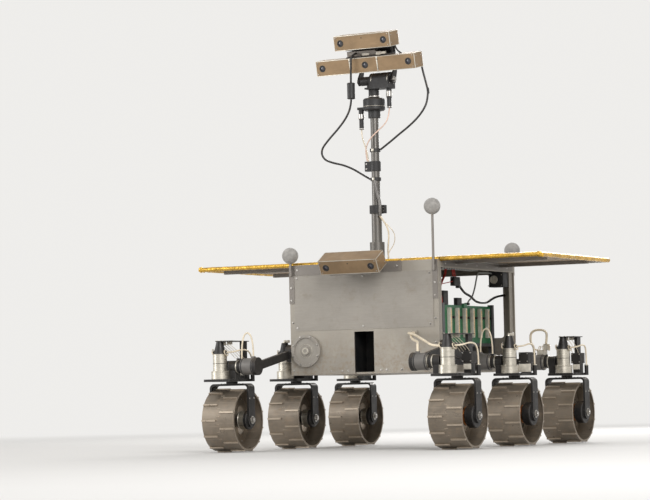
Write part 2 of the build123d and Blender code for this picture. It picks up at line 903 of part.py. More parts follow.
def yoke(side):
    """Fork over a wheel about the wheel's centre: bent strip, axle, drive motor and steering shaft."""
    low = yoke_bottom - axle_z
    top = yoke_top - axle_z
    half = yoke_depth / 2
    fork = block(-yoke_outer, yoke_outer, -half, half, 0, top)
    fork = fillet(fork.edges().filter_by(Axis.Y).group_by(Axis.Z)[-1], yoke_bend + yoke_wall)
    inside = block(-yoke_inner, yoke_inner, -half - 1, half + 1, -1, low)
    fork -= fillet(inside.edges().filter_by(Axis.Y).group_by(Axis.Z)[-1], yoke_bend)
    for x0 in (-yoke_outer, yoke_inner):
        fork += rod_x(yoke_end_radius, x0, x0 + yoke_wall, 0, 0)
    fork += rod_x(axle_radius, -yoke_outer, yoke_outer, 0, 0)
    fork += rod_x(drive_radius, -side * yoke_inner, -side * (yoke_inner - drive_length), 0, 0)
    fork += rod_z(washer_radius, 0, 0, top, top + leg_gap - seat_gap)
    fork += rod_z(steer_shaft_radius, 0, 0, top, case_top - axle_z)
    return fork


def leg_bracket(side, motor, walk, lid):
    """Gear case over the yoke with the coupling to the walking motor, about the steering axis.

    motor and walk are how far the two motors stand forward of the steering axis. The black box and
    the plug's boot are on the left of every leg, because the right legs aren't mirrored.
    """
    half = case_width / 2
    inboard = -side
    case = block(-half, half, -motor - case_front, case_back, case_bottom, case_top)
    case = fillet(case.edges().filter_by(Axis.Z), 10)
    case -= rod_z(steer_shaft_radius + bore_gap, 0, 0, case_bottom - 1, case_top + 1)
    case += rod_x(coupling_radius, 0, inboard * walk_inboard, -walk, walk_height)
    case += block(inboard * 4, inboard * half, -walk - 12, -walk + 12, case_top, walk_height)
    t = terminal_width / 2
    x = inboard * arch_route[0][0]
    case += block(x - t, x + t, -walk - t, -walk + t, walk_height, coupling_terminal_top)
    y0 = case_back - block_length
    z0 = case_top + block_rise
    x0 = block_offset - block_width / 2
    box = block(x0, x0 + block_width, y0, case_back, z0, z0 + block_height)
    case += fillet(box.edges().filter_by(Axis.Z), 2)
    case += block(x0 + 4, x0 + block_width - 4, y0 + 4, case_back - 3, case_top, z0)
    r = plug_boot_radius
    case += block(half - 12, plug_boot_x, plug_boot_y - r, plug_boot_y + r, case_bottom, case_top)
    case += rod_z(r, plug_boot_x, plug_boot_y, case_bottom, case_top + plug_boot_height)
    case -= rod_z(ring_radius + bore_gap, 0, -motor, case_top, boot_top)
    parts = [case]
    slope = Cone(boot_radius, boot_top_radius, boot_height)
    boot = Pos(0, -motor, motor_top + boot_height / 2) * slope
    boot += rod_x(nipple_radius, -nipple_reach, nipple_reach, -motor, nipple_z)
    if lid:
        edge = boot_top_radius
        top = boot_top + lid_thickness
        boot += block(-edge, x0 + block_width - 4, -motor - lid_overhang, case_back - 2, boot_top, top)
        post = x0 + block_width / 2
        boot += block(post - t, post + t, y0 + t, case_back - t, z0 + block_height, boot_top)
    parts.append(boot)
    return parts


def place_legs(names, piece):
    """Put the solids of one piece over each of the named stations."""
    out = []
    for name, side, y, motor, walk, lid in stations:
        if name in names:
            out += [Pos(side * half_track, y, 0) * solid for solid in piece(side, motor, walk, lid)]
    return Compound(children=out)


def steer_motor(side, motor, walk, lid):
    """Steering motor on its gear ring."""
    column = rod_z(ring_radius, 0, -motor, case_top, ring_top)
    return [column + rod_z(steer_motor_radius, 0, -motor, ring_top, motor_top)]


def walk_motor(side, motor, walk, lid):
    """Walking motor between the leg and its beam, with a terminal block on top."""
    inboard = -side
    start = inboard * walk_inboard
    can = rod_x(walk_radius, start, start + inboard * walk_length, -walk, walk_height)
    t = terminal_width / 2
    x = inboard * arch_route[-1][0]
    return [can + block(x - t, x + t, -walk - t, -walk + t, walk_height, terminal_top)]


def leg_leads():
    """Stiff leads of the six legs, each between two housings."""
    leads = []
    for name, side, y, motor, walk, _ in stations:
        place = Pos(side * half_track, y, 0)
        start = -motor
        run = plug_boot_y - start
        points = [(x, start + share * run, z) for x, share, z in plug_route]
        leads.append(place * lead_tube(points, motor_lead_diameter))
        if name != "front_left":
            points = [(-side * x, -walk, z) for x, z in arch_route]
            leads.append(place * lead_tube(points, motor_lead_diameter))
    leads.append(lead_tube(motor_to_gland_route, panel_lead_diameter))
    leads.append(lead_tube(walk_to_gland_route, panel_lead_diameter))
    return Compound(children=leads)


def bay_leads():
    """Leads between the power unit, the duct and the circuit board."""
    routes = (power_lead_route, loom_route, board_lead_route)
    return Compound(children=[lead_tube(route, motor_lead_diameter) for route in routes])


def bogie_side(side):
    """Beam from the front leg's motor to the middle one's, with its pivot on the body's side."""
    front, middle = [y - walk for _, of_side, y, _, walk, _ in stations[:4] if of_side == side]
    pivot_y = (front + middle) / 2
    h = beam_height / 2
    outline = [
        (front, walk_height - h),
        (pivot_y, pivot_height - h),
        (middle, walk_height - h),
        (middle, walk_height + h),
        (pivot_y, pivot_height + h),
        (front, walk_height + h),
    ]
    x0 = min(side * beam_x, side * (beam_x + beam_thickness))
    beam = plate_x(outline, x0, x0 + beam_thickness)
    for y in (front, middle):
        beam += rod_x(walk_flange_radius, x0, x0 + beam_thickness, y, walk_height)
    beam += rod_x(pivot_radius, side * side_x, side * (beam_x + beam_thickness + 3), pivot_y, pivot_height)
    return beam


def bogie_rear():
    """Cross beam behind the body between the rear legs' motors, with its pivot on the rear panel."""
    y = wheel_base - stations[4][4]
    end = beam_x + beam_thickness
    h = beam_height / 2
    half = rear_beam_depth / 2
    beam = block(-end, end, y - half, y + half, walk_height - h, walk_height + h)
    for side in (-1, 1):
        beam += rod_x(walk_flange_radius, side * beam_x, side * end, y, walk_height)
    beam += rod_y(rear_pivot_radius, 0, rear_y, y + half + 4, walk_height + rear_pivot_radius / 2)
    return beam


def cable_bead():
    """Choke bead that the left cable passes through, its ends rounded."""
    x, y, _ = left_lower_route[0]
    bead = rod_z(bead_radius, x, mast_y + y, bead_bottom, bead_top)
    return fillet(bead.edges().filter_by(GeomType.CIRCLE), 2)


def cord_tube(route, diameter):
    """Tube along a route that is counted from the mast's axis."""
    return lead_tube([(x, mast_y + y, z) for x, y, z in route], diameter)


def lead_tube(points, diameter):
    """Tube along straight runs joined by tangent arcs."""
    places = [Vector(*point) for point in points]
    runs = [b - a for a, b in zip(places, places[1:])]
    radii = []
    for before, after in zip(runs, runs[1:]):
        turn = radians(before.get_angle(after))
        radii.append(0.45 * min(before.length, after.length) / tan(turn / 2))
    path = FilletPolyline(*places, radius=radii)
    start = Plane(origin=path @ 0, z_dir=path % 0)
    tube = sweep(start * Circle(diameter / 2), path=path)
    print("tube", round(path.length, 1), "mm, smallest radius", round(min(radii), 1))
    return tube


os.makedirs("parts", exist_ok=True)
save("floor_panel", floor_panel())
save("front_panel", front_panel())
save("front_sheet", front_sheet())
save("front_bay", front_bay())
save("access_cover", access_cover())
save("rear_panel", rear_panel())
save("right_panel", right_panel())
save("deck_panel", deck_panel())
save("corner_posts", corner_posts())
save("battery_box", battery_box())
save("board_frame", board_frame())
save("main_board", main_board())
save("power_box", power_box())
save("hazard_camera", hazard_camera())
save("hazard_bracket", hazard_bracket())
save("array_centre", array_centre())
save("array_left", array_wing(1))
save("array_right", array_wing(-1))
save("array_brackets", array_brackets())
save("marker_posts", marker_posts())
save("marker_balls", marker_balls())
save("mast_foot", mast_foot())
save("mast_lower", mast_lower())
save("mast_upper", mast_upper())
save("mast_clamps", mast_clamps())
save("pan_base", pan_base())
save("pan_head", pan_head())
save("camera_bracket", camera_bracket())
save("camera_wide", camera_wide())
save("camera_small", camera_small())
save("cable_bead", cable_bead())
save("cable_left_upper", cord_tube(left_upper_route, cable_diameter))
save("cable_left_lower", cord_tube(left_lower_route, cable_diameter))
save("cable_right_upper", cord_tube(right_upper_route, cable_diameter))
save("cable_right_lower", cord_tube(right_lower_route, cable_diameter))
save("pan_lead", cord_tube(pan_lead_route, lead_diameter))
save("mast_lead", cord_tube(mast_lead_route, lead_diameter))
save("mast_wire", cord_tube(mast_wire_route, wire_diameter))
save("bay_leads", bay_leads())
save("leg_leads", leg_leads())
save("legs_front", place_legs(("front_left", "front_right"), leg_bracket))
save("legs_middle", place_legs(("middle_left", "middle_right"), leg_bracket))
save("legs_rear", place_legs(("rear_left", "rear_right"), leg_bracket))
every = [row[0] for row in stations]
save("steer_motors", place_legs(every, steer_motor))
save("walk_motors", place_legs(every, walk_motor))
save("bogie_left", bogie_side(1))
save("bogie_right", bogie_side(-1))
save("bogie_rear", bogie_rear())
for name, side, y, *_ in stations:
    place = Pos(side * half_track, y, axle_z)
    save(f"wheel_{name}", place * wheel())
    save(f"yoke_{name}", place * yoke(side))
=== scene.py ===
"""Six-wheeled planetary rover prototype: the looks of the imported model, fittings in millimetres."""
import json
from itertools import product
from math import atan2, cos, pi, radians, sin

import bmesh
import bpy
from bpy.props import FloatProperty, FloatVectorProperty, IntProperty, PointerProperty
from mathutils import Matrix, Vector, noise


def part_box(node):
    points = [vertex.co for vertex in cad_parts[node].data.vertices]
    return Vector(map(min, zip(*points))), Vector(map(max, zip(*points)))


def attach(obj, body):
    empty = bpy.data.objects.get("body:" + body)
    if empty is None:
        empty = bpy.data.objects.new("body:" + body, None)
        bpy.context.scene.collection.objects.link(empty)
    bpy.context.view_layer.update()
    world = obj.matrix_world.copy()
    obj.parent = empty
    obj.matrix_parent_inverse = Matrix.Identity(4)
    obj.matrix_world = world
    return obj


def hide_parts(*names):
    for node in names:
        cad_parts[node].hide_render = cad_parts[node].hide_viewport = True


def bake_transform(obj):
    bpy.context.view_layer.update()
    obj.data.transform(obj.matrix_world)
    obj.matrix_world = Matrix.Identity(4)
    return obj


bl_info = {
    "name": "Rover Prototype Looks",
    "version": (1, 0, 0),
    "blender": (4, 5, 0),
    "location": "View3D > Sidebar > Rover",
    "description": "Dresses the six-wheeled rover prototype: finishes, cables, fittings and studio",
    "category": "Object",
}

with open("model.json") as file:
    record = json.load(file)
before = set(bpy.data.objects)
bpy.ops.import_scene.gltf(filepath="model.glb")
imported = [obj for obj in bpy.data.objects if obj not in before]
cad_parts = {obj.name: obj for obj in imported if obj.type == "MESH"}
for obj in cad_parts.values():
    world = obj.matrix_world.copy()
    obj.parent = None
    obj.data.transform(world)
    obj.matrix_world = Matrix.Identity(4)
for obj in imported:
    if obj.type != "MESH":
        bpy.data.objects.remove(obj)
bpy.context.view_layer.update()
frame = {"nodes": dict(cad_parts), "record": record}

MM = 0.001
PHOTO_WIDTH_PX = 650
SENSOR_WIDTH_MM = 36.0
BACKGROUND = (0.86, 0.85, 0.83)
LEFT = (1, 0, 0)
RIGHT = (-1, 0, 0)
FORWARD = (0, -1, 0)
BACKWARD = (0, 1, 0)


def joint_row(name):
    """The record's row of one joint."""
    rows = frame["record"]["behaviour"]["joints"]
    return next(row for row in rows if row["name"] == name)


def joint_point(name):
    """Place of a joint, in millimetres."""
    return Vector(joint_row(name)["pos_m"]) / MM


def box_of(node):
    """Lowest and highest corner of a solid, in millimetres."""
    return [Vector(corner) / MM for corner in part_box(node)]


mast_axis = joint_point("head_pan")
tilt_point = joint_point("head_tilt")
tilt_axis = Vector(joint_row("head_tilt")["axis"])
head_turn = Matrix.Rotation(atan2(tilt_axis.y, tilt_axis.x), 4, "Z")
mast_foot = (mast_axis.x, mast_axis.y, 0)


def colour(name, description, default):
    """A colour setting."""
    return FloatVectorProperty(
        name=name, description=description, default=default, size=3, min=0, max=1, subtype="COLOR"
    )


def length(name, description, millimetres):
    """A length setting."""
    return FloatProperty(
        name=name,
        description=description,
        default=millimetres * MM,
        min=0,
        subtype="DISTANCE",
        unit="LENGTH",
    )


def angle(name, description, degrees):
    """An angle setting."""
    return FloatProperty(
        name=name,
        description=description,
        default=radians(degrees),
        subtype="ANGLE",
        unit="ROTATION",
    )


class RoverCameraView(bpy.types.PropertyGroup):
    """Where the camera stands"""

    azimuth: angle("Azimuth", "Turn of the camera to the rover's left side", 27.6)
    elevation: angle("Elevation", "Height of the camera above the target, as an angle", -3.13)
    roll: angle("Roll", "Turn of the camera about its own line of sight", -1.24)
    distance: length("Distance", "From the camera to its target", 7000)
    focal_px: FloatProperty(
        name="Focal length",
        description="Focal length in pixels of the photograph's width",
        default=2786,
    )
    target_x: FloatProperty(
        name="Target X", description="Target's place along X", default=-0.21, unit="LENGTH"
    )
    target_z: FloatProperty(
        name="Target Z", description="Target's height", default=0.4974, unit="LENGTH"
    )


class RoverFinish(bpy.types.PropertyGroup):
    """Colours of the finishes"""

    panel: colour("Panel", "Dull aluminium sheet of the body", (0.36, 0.33, 0.285))
    facing: colour("Facing", "Thin sheet on the upper front", (0.33, 0.305, 0.27))
    bracket: colour("Bracket", "Grey brackets and posts", (0.23, 0.21, 0.19))
    gold: colour("Camera gold", "Brown-gold anodised camera cases", (0.28, 0.19, 0.108))
    tape: colour("Edge tape", "Gold film on the array's edge", (0.86, 0.52, 0.09))
    foil: colour("Silver film", "Silver film on the array's rear edge", (0.74, 0.72, 0.68))
    sheet: colour("Array underside", "Brown composite sheet", (0.4, 0.3, 0.2))
    cell: colour("Solar cell", "Dark blue cells", (0.012, 0.018, 0.05))
    marker: colour("Marker", "Grey tracking balls", (0.33, 0.315, 0.295))
    mast: colour("Mast", "Dark aluminium tube", (0.14, 0.132, 0.122))
    black: colour("Black anodised", "Forks and brackets", (0.03, 0.028, 0.027))
    plastic: colour("Black plastic", "Boxes, boots and plugs", (0.022, 0.021, 0.021))
    white: colour("White plastic", "Off-white moulded connector housings", (0.62, 0.58, 0.5))
    # also the colour of the bright strips painted along the camera edges as highlight
    silver: colour("Motor silver", "Steering motors and bare metal edges", (0.62, 0.58, 0.5))
    motor: colour("Motor grey", "Walking motors", (0.17, 0.16, 0.15))
    wheel: colour("Wheel", "Bare metal of the drums", (0.25, 0.208, 0.162))
    worn: colour(
        "Worn metal", "Rivets and rims of the drums, rubbed bright", (0.325, 0.2704, 0.2106)
    )
    dust: colour("Dust", "Dry dust on the running gear", (0.33, 0.245, 0.165))
    board: colour("Circuit board", "Green circuit board", (0.02, 0.12, 0.05))
    battery: colour("Battery", "Battery case", (0.06, 0.06, 0.065))
    lining: colour("Bay lining", "Black lining of the front bay", (0.006, 0.006, 0.007))
    lead: colour("Pale lead", "Cream insulation", (0.78, 0.68, 0.52))
    pink: colour("Pink lead", "Pinkish insulation of the pan unit's lead", (0.74, 0.53, 0.43))
    grey: colour("Grey lead", "Grey insulation and duct", (0.33, 0.34, 0.33))
    cable: colour("Cable", "Black cable jacket", (0.022, 0.02, 0.019))
    red: colour("Red lead", "Red insulation", (0.5, 0.03, 0.02))
    brass: colour("Brass", "Gold-plated contacts", (0.78, 0.52, 0.2))
    # painted glint: this copper on the left drive sleeves stands in for warm glints of light
    copper: colour("Copper", "Sleeves of the left drive gears", (0.5, 0.23, 0.09))
    steel: colour("Steel", "Screws and rings", (0.5, 0.48, 0.45))
    glass: colour("Glass", "Coated front glass of the lenses", (0.006, 0.006, 0.01))


class RoverFittings(bpy.types.PropertyGroup):
    """Sizes of screws and other small fittings"""

    screw_radius: length("Screw radius", "Head radius of the panel screws", 2.7)
    small_screw_radius: length("Small screw radius", "Head radius of the camera screws", 1.5)
    screw_height: length("Screw height", "Head height of the panel screws", 1.8)
    cable_diameter: length("Cable diameter", "Black cables of the head", 5)
    lead_diameter: length("Lead diameter", "Thin leads of the mast", 3)
    wire_diameter: length("Wire diameter", "Wire at the mast's foot", 2)
    motor_lead_diameter: length("Motor lead diameter", "Leads of the legs and the body", 4)
    panel_lead_diameter: length("Panel lead diameter", "Leads into the front plate", 6)
    bundle_diameter: length("Bundle diameter", "Wrapped bundle down the mast", 8)
    sheet_thickness: length("Sheet thickness", "Thickness of the array's sheets", 2.5)
    cell_gap: length("Cell gap", "Gap between the solar cells", 2)
    cell_count: IntProperty(
        name="Cell rows", description="Rows of cells along the array", default=5, min=1
    )


class RoverHead(bpy.types.PropertyGroup):
    """Sizes of the three camera bars and how they are turned"""

    pitch: angle("Head pitch", "How far the mast cameras look down", 12)
    hazard_pitch: angle("Hazard pitch", "How far the front camera looks down", 30)
    wide_length: length("Wide length", "Length of the three-lens camera", 277)
    wide_depth: length("Wide depth", "Depth of the three-lens camera", 42)
    wide_height: length("Wide height", "Height of the three-lens camera", 37)
    wide_baseline: length("Wide baseline", "Between the outer lenses", 240)
    small_length: length("Small length", "Length of the two-lens cameras", 157)
    small_depth: length("Small depth", "Depth of the two-lens cameras", 47)
    small_height: length("Small height", "Height of the two-lens cameras", 36)
    small_baseline: length("Small baseline", "Between the two lenses", 120)
    head_forward: length("Forward", "How far the cameras stand ahead of the tilt axis", 12)
    wide_rise: length("Wide rise", "Middle of the wide camera above the tilt axis", 42.5)
    small_rise: length("Small rise", "Middle of the small camera above the tilt axis", 100)
    lens_radius: length("Lens radius", "Radius of the lens openings", 7)
    corner_radius: length("Corner radius", "Radius of the upright corners of the cases", 3)
    # painted highlight: width of the bright strips laid along the camera edges
    edge_width: length("Edge width", "Width of the edges rubbed to bare metal", 1.4)


class RoverSettings(bpy.types.PropertyGroup):
    """All settings of the rover's looks"""

    view: PointerProperty(type=RoverCameraView)
    finish: PointerProperty(type=RoverFinish)
    fittings: PointerProperty(type=RoverFittings)
    head: PointerProperty(type=RoverHead)


def settings():
    """All settings of the scene."""
    return bpy.context.scene.rover


def in_mm(group, *names):
    """Lengths of one group of settings, in millimetres."""
    return [getattr(group, name) / MM for name in names]


# Shader nodes
class Finish:
    """One procedural finish: a Principled surface and the nodes that feed it."""

    def __init__(self, name, tint, roughness, metallic=0.0, specular=0.5):
        self.material = bpy.data.materials.new(name)
        self.material.use_nodes = True
        self.material.diffuse_color = (*tint, 1)
        self.tree = self.material.node_tree
        self.surface = self.tree.nodes["Principled BSDF"]
        self.tint = tuple(tint)
        self.set("Base Color", (*tint, 1))
        self.set("Roughness", roughness)
        self.set("Metallic", metallic)
        self.set("Specular IOR Level", specular)
        self.coordinates = self.add("ShaderNodeTexCoord").outputs["Object"]
        self.base = None
        self.bump = None

    def set(self, socket, value):
        """Give one socket of the surface a value."""
        self.surface.inputs[socket].default_value = value

    def add(self, kind, **options):
        """Add a node; options are its own settings."""
        node = self.tree.nodes.new(kind)
        for key, value in options.items():
            setattr(node, key, value)
        return node

    def join(self, source, target):
        """Link two sockets."""
        self.tree.links.new(source, target)

    def noise(self, scale, detail=4.0, roughness=0.55, stretch=(1, 1, 1)):
        """Noise factor; scale is in features per metre."""
        node = self.add("ShaderNodeTexNoise")
        node.inputs["Scale"].default_value = scale
        node.inputs["Detail"].default_value = detail
        node.inputs["Roughness"].default_value = roughness
        stretched = self.add("ShaderNodeMapping")
        stretched.inputs["Scale"].default_value = stretch
        self.join(self.coordinates, stretched.inputs["Vector"])
        self.join(stretched.outputs["Vector"], node.inputs["Vector"])
        return node.outputs["Fac"]

    def bands(self, scale, direction):
        """Fine parallel lines."""
        node = self.add("ShaderNodeTexWave", wave_type="BANDS", bands_direction=direction)
        node.inputs["Scale"].default_value = scale
        self.join(self.coordinates, node.inputs["Vector"])
        return node.outputs["Fac"]

    def span(self, value, low, high, to_low=0.0, to_high=1.0):
        """Map a value from one range to another, clamped."""
        node = self.add("ShaderNodeMapRange", interpolation_type="SMOOTHSTEP")
        limits = {"From Min": low, "From Max": high, "To Min": to_low, "To Max": to_high}
        for key, number in limits.items():
            node.inputs[key].default_value = number
        self.join(value, node.inputs["Value"])
        return node.outputs["Result"]

    def patches(self, grain, *limits):
        """Noise of a grain (scale, detail, roughness, stretch), mapped between the limits."""
        return self.span(self.noise(*grain), *limits)

    def maths(self, operation, a, b=0.0, c=0.0):
        """One maths node on sockets or numbers."""
        node = self.add("ShaderNodeMath", operation=operation)
        for socket, value in zip(node.inputs, (a, b, c)):
            if isinstance(value, (int, float)):
                socket.default_value = value
            else:
                self.join(value, socket)
        return node.outputs["Value"]

    def mix(self, factor, a, b):
        """Mix two colours, each a socket or a tuple."""
        node = self.add("ShaderNodeMix", data_type="RGBA")
        self.join(factor, node.inputs["Factor"])
        for socket, value in ((node.inputs[6], a), (node.inputs[7], b)):
            if isinstance(value, tuple):
                socket.default_value = (*value[:3], 1)
            else:
                self.join(value, socket)
        return node.outputs[2]

    def shade(self, factor):
        """The finish's own tint, darker or lighter."""
        return tuple(min(1.0, channel * factor) for channel in self.tint)

    def paint(self, factor, a, b):
        """Colour the surface with a mix of two colours."""
        self.base = self.mix(factor, a, b)
        self.join(self.base, self.surface.inputs["Base Color"])

    def ground(self, factor, dark, light):
        """Colour the surface with its tint, from darker to lighter along a factor."""
        self.paint(factor, self.shade(dark), self.shade(light))

    def layer(self, factor, tint):
        """Lay another colour over the surface."""
        self.paint(factor, self.base, tint)

    def polish(self, socket):
        """Use a value socket as the surface's roughness."""
        self.join(socket, self.surface.inputs["Roughness"])

    def relief(self, height, distance, strength=1.0):
        """Add one layer of bump; distance is in metres."""
        node = self.add("ShaderNodeBump")
        node.inputs["Strength"].default_value = strength
        node.inputs["Distance"].default_value = distance
        self.join(height, node.inputs["Height"])
        if self.bump:
            self.join(self.bump, node.inputs["Normal"])
        self.bump = node.outputs["Normal"]
        self.join(self.bump, self.surface.inputs["Normal"])

    def along(self, axis, vector=None):
        """One coordinate of a vector, or else of the point itself."""
        split = self.add("ShaderNodeSeparateXYZ")
        self.join(vector or self.coordinates, split.inputs["Vector"])
        return split.outputs[axis]

    def flat(self, x, y):
        """Vector of two coordinates."""
        node = self.add("ShaderNodeCombineXYZ")
        self.join(x, node.inputs["X"])
        self.join(y, node.inputs["Y"])
        return node.outputs["Vector"]

    def size(self, vector):
        """Length of a vector."""
        node = self.add("ShaderNodeVectorMath", operation="LENGTH")
        self.join(vector, node.inputs[0])
        return node.outputs["Value"]

    def facing_up(self):
        """How far a surface faces up, from 0 to 1."""
        normal = self.add("ShaderNodeNewGeometry").outputs["Normal"]
        return self.span(self.along("Z", normal), 0.2, 0.95)

    def from_axle(self):
        """Distance from the nearest axle: the stations repeat along Y."""
        _, step, rise = joint_row("roll_rear_left")["pos_m"]
        y = self.maths("WRAP", self.along("Y"), step / 2, -step / 2)
        return self.size(self.flat(y, self.maths("SUBTRACT", self.along("Z"), rise)))

    def edges(self, radius):
        """Mask of the sharp edges."""
        bevel = self.add("ShaderNodeBevel", samples=4)
        bevel.inputs["Radius"].default_value = radius
        dot = self.add("ShaderNodeVectorMath", operation="DOT_PRODUCT")
        self.join(bevel.outputs["Normal"], dot.inputs[0])
        self.join(self.add("ShaderNodeNewGeometry").outputs["Normal"], dot.inputs[1])
        return self.span(dot.outputs["Value"], 0.99, 0.85)


def dust(share=1.0):
    """The dust's colour, dimmed to a share."""
    return tuple(share * channel for channel in settings().finish.dust)


def sheet_metal(name, tint, roughness, metallic, grain, dirt):
    """Dull sheet metal with faint grain, smudges and fine scratches; its edges painted lighter,
    partly wear and partly painted highlight.
    """
    f = Finish(name, tint, roughness, metallic)
    clouds = f.patches((7, 5, 0.6), 0.3, 0.72)
    f.ground(clouds, 0.86, 1.1)
    f.layer(f.patches((26, 6, 0.7), 0.52, 0.78, 0, dirt), dust(0.55))
    # edges painted lighter: partly wear, partly painted highlight
    f.layer(f.edges(0.0008), f.shade(1.55))
    scratch = f.noise(420, 3, 0.7, grain)
    broad = f.span(clouds, 0, 1, roughness - 0.06, roughness + 0.1)
    f.polish(f.maths("ADD", f.span(scratch, 0.35, 0.65, -0.06, 0.08), broad))
    f.relief(scratch, 0.00006, 0.35)
    f.relief(f.noise(60, 3), 0.0004, 0.12)
    return f.material


def body_panel(name, tint):
    """Bare aluminium plates of the body, dusty towards the belly."""
    f = Finish(name, tint, 0.5, 0.55)
    clouds = f.patches((5.5, 6, 0.62), 0.32, 0.7)
    f.ground(clouds, 0.87, 1.09)
    f.layer(f.patches((34, 5, 0.7, (1, 1, 0.25)), 0.55, 0.75, 0, 0.28), f.shade(1.35))
    low = f.span(f.span(f.along("Z"), 0.17, 0.33), 0, 1, 0.6, 0)
    f.layer(f.maths("MULTIPLY", low, f.patches((90, 6, 0.75), 0.42, 0.68)), dust(0.8))
    # edges painted lighter: partly wear, partly painted highlight
    f.layer(f.edges(0.001), f.shade(1.6))
    grain = f.noise(500, 3, 0.7, (0.06, 0.06, 1))
    f.polish(f.maths("ADD", f.span(grain, 0.3, 0.7, -0.05, 0.07), f.span(clouds, 0, 1, 0.42, 0.56)))
    f.relief(grain, 0.00005, 0.4)
    f.relief(f.noise(11, 2), 0.0012, 0.12)
    return f.material


def motor_can(name, tint):
    """Anodised can: even colour, fine blast texture, lighter edges in patches, partly wear and partly
    painted highlight.
    """
    f = Finish(name, tint, 0.44, 0.4)
    f.ground(f.patches((30, 4), 0.3, 0.7), 0.85, 1.12)
    # edges painted lighter in patches: partly wear, partly painted highlight
    f.layer(f.maths("MULTIPLY", f.edges(0.0009), f.patches((160, 4, 0.7), 0.35, 0.6)), f.shade(1.8))
    f.polish(f.patches((45, 5, 0.7), 0.3, 0.7, 0.37, 0.54))
    f.relief(f.noise(2600, 2), 0.00004, 0.3)
    return f.material


def camera_case(name, tint):
    """Brown-gold anodised camera cases, with highlights painted in patches along their edges."""
    f = Finish(name, tint, 0.42, 0.55)
    f.ground(f.patches((24, 5, 0.6), 0.3, 0.7), 0.86, 1.1)
    f.layer(f.patches((140, 3, 0.6, (0.1, 1, 1)), 0.6, 0.74, 0, 0.25), f.shade(1.7))
    # painted highlight: pale metal colour laid in patches along the edges
    worn = f.patches((60, 3, 0.6), 0.2, 0.45, 0.15, 0.45)
    f.layer(f.maths("MULTIPLY", f.edges(0.003), worn), (0.78, 0.71, 0.58))
    f.polish(f.patches((45, 5, 0.7), 0.3, 0.7, 0.34, 0.52))
    f.relief(f.noise(2600, 2), 0.00004, 0.3)
    return f.material


def black_anodised(name, tint):
    """Forks, collars and brackets, dusted from above."""
    f = Finish(name, tint, 0.42, 0.5)
    # edges painted lighter: partly wear, partly painted highlight
    f.ground(f.edges(0.0009), 1.0, 6.0)
    dusty = f.maths("MULTIPLY", f.facing_up(), f.patches((55, 6, 0.7), 0.35, 0.7, 0.05, 0.5))
    f.layer(dusty, dust(0.6))
    f.polish(f.patches((40, 5, 0.7), 0.3, 0.7, 0.34, 0.55))
    f.relief(f.noise(2200, 2), 0.00004, 0.3)
    return f.material


def black_plastic(name, tint):
    """Moulded boxes, boots and plugs, dusted from above."""
    f = Finish(name, tint, 0.5, 0.0, 0.45)
    dusty = f.maths("MULTIPLY", f.facing_up(), f.patches((70, 6, 0.7), 0.35, 0.7, 0.05, 0.4))
    f.paint(dusty, f.shade(1.0), dust(0.6))
    f.polish(f.patches((60, 4), 0.3, 0.7, 0.42, 0.6))
    f.relief(f.noise(1500, 2), 0.00006, 0.4)
    return f.material


def machined(name, tint, roughness, metallic):
    """Turned metal with rings from the tool."""
    f = Finish(name, tint, roughness, metallic)
    rings = f.noise(900, 2, 0.5, (0.02, 0.02, 1))
    f.ground(f.patches((35, 5, 0.65), 0.3, 0.72), 0.84, 1.08)
    f.layer(f.patches((90, 6, 0.75), 0.56, 0.74, 0, 0.45), dust(0.6))
    f.polish(f.span(rings, 0.3, 0.7, roughness - 0.05, roughness + 0.12))
    f.relief(rings, 0.00005, 0.4)
    return f.material


def drum_metal(name, tint):
    """Rolled metal of the drums with bare bright grousers, scuffed and dusty."""
    drum_radius, grouser_foot = 0.0744, 0.0754
    f = Finish(name, tint, 0.36, 0.5)
    f.ground(f.patches((14, 4, 0.6), 0.3, 0.7), 0.72, 1.08)
    f.layer(f.patches((220, 3, 0.6, (0.05, 1, 1)), 0.58, 0.7, 0, 0.35), f.shade(1.5))
    dusty = f.patches((75, 7, 0.72), 0.5, 0.72, 0, 0.55)
    f.layer(dusty, dust())
    raised = f.span(f.from_axle(), drum_radius, grouser_foot)
    rubbed = f.patches((120, 4, 0.7), 0.25, 0.6, 0.55, 1)
    f.layer(f.maths("MULTIPLY", raised, rubbed), f.shade(1.75))
    # edges painted lighter: partly wear, partly painted highlight
    f.layer(f.edges(0.0008), f.shade(1.8))
    gloss = f.patches((30, 5, 0.65), 0.3, 0.7, 0.26, 0.42)
    f.polish(f.maths("ADD", gloss, f.maths("MULTIPLY", dusty, 0.5)))
    f.relief(f.noise(300, 3, 0.6, (0.1, 1, 1)), 0.0001, 0.3)
    f.relief(f.noise(18, 2), 0.001, 0.2)
    return f.material


def marker_skin(name, tint):
    """Matt grey skin of the tracking balls."""
    f = Finish(name, tint, 0.75, 0.0, 0.3)
    f.ground(f.patches((60, 6, 0.7), 0.35, 0.68), 0.8, 1.15)
    f.relief(f.noise(1300, 3), 0.00018, 0.5)
    f.set("Sheen Weight", 0.25)
    return f.material


def composite(name, tint):
    """Brown composite sheet with a faint weave."""
    f = Finish(name, tint, 0.55, 0.0, 0.4)
    f.ground(f.patches((9, 6, 0.65), 0.3, 0.7), 0.75, 1.2)
    weave = f.bands(260, "DIAGONAL")
    f.layer(f.span(weave, 0.2, 0.8, 0, 0.25), f.shade(0.6))
    f.relief(weave, 0.0001, 0.4)
    return f.material


def film(name, tint):
    """Crumpled metallised film."""
    f = Finish(name, tint, 0.24, 0.9)
    crease = f.add("ShaderNodeTexVoronoi", feature="DISTANCE_TO_EDGE")
    crease.inputs["Scale"].default_value = 90
    f.join(f.coordinates, crease.inputs["Vector"])
    f.ground(f.patches((40, 6, 0.7), 0.3, 0.7), 0.5, 1.0)
    f.polish(f.patches((70, 5), 0.3, 0.7, 0.16, 0.4))
    f.relief(crease.outputs["Distance"], 0.002, 0.5)
    f.relief(f.noise(220, 5, 0.7), 0.0012, 0.5)
    return f.material


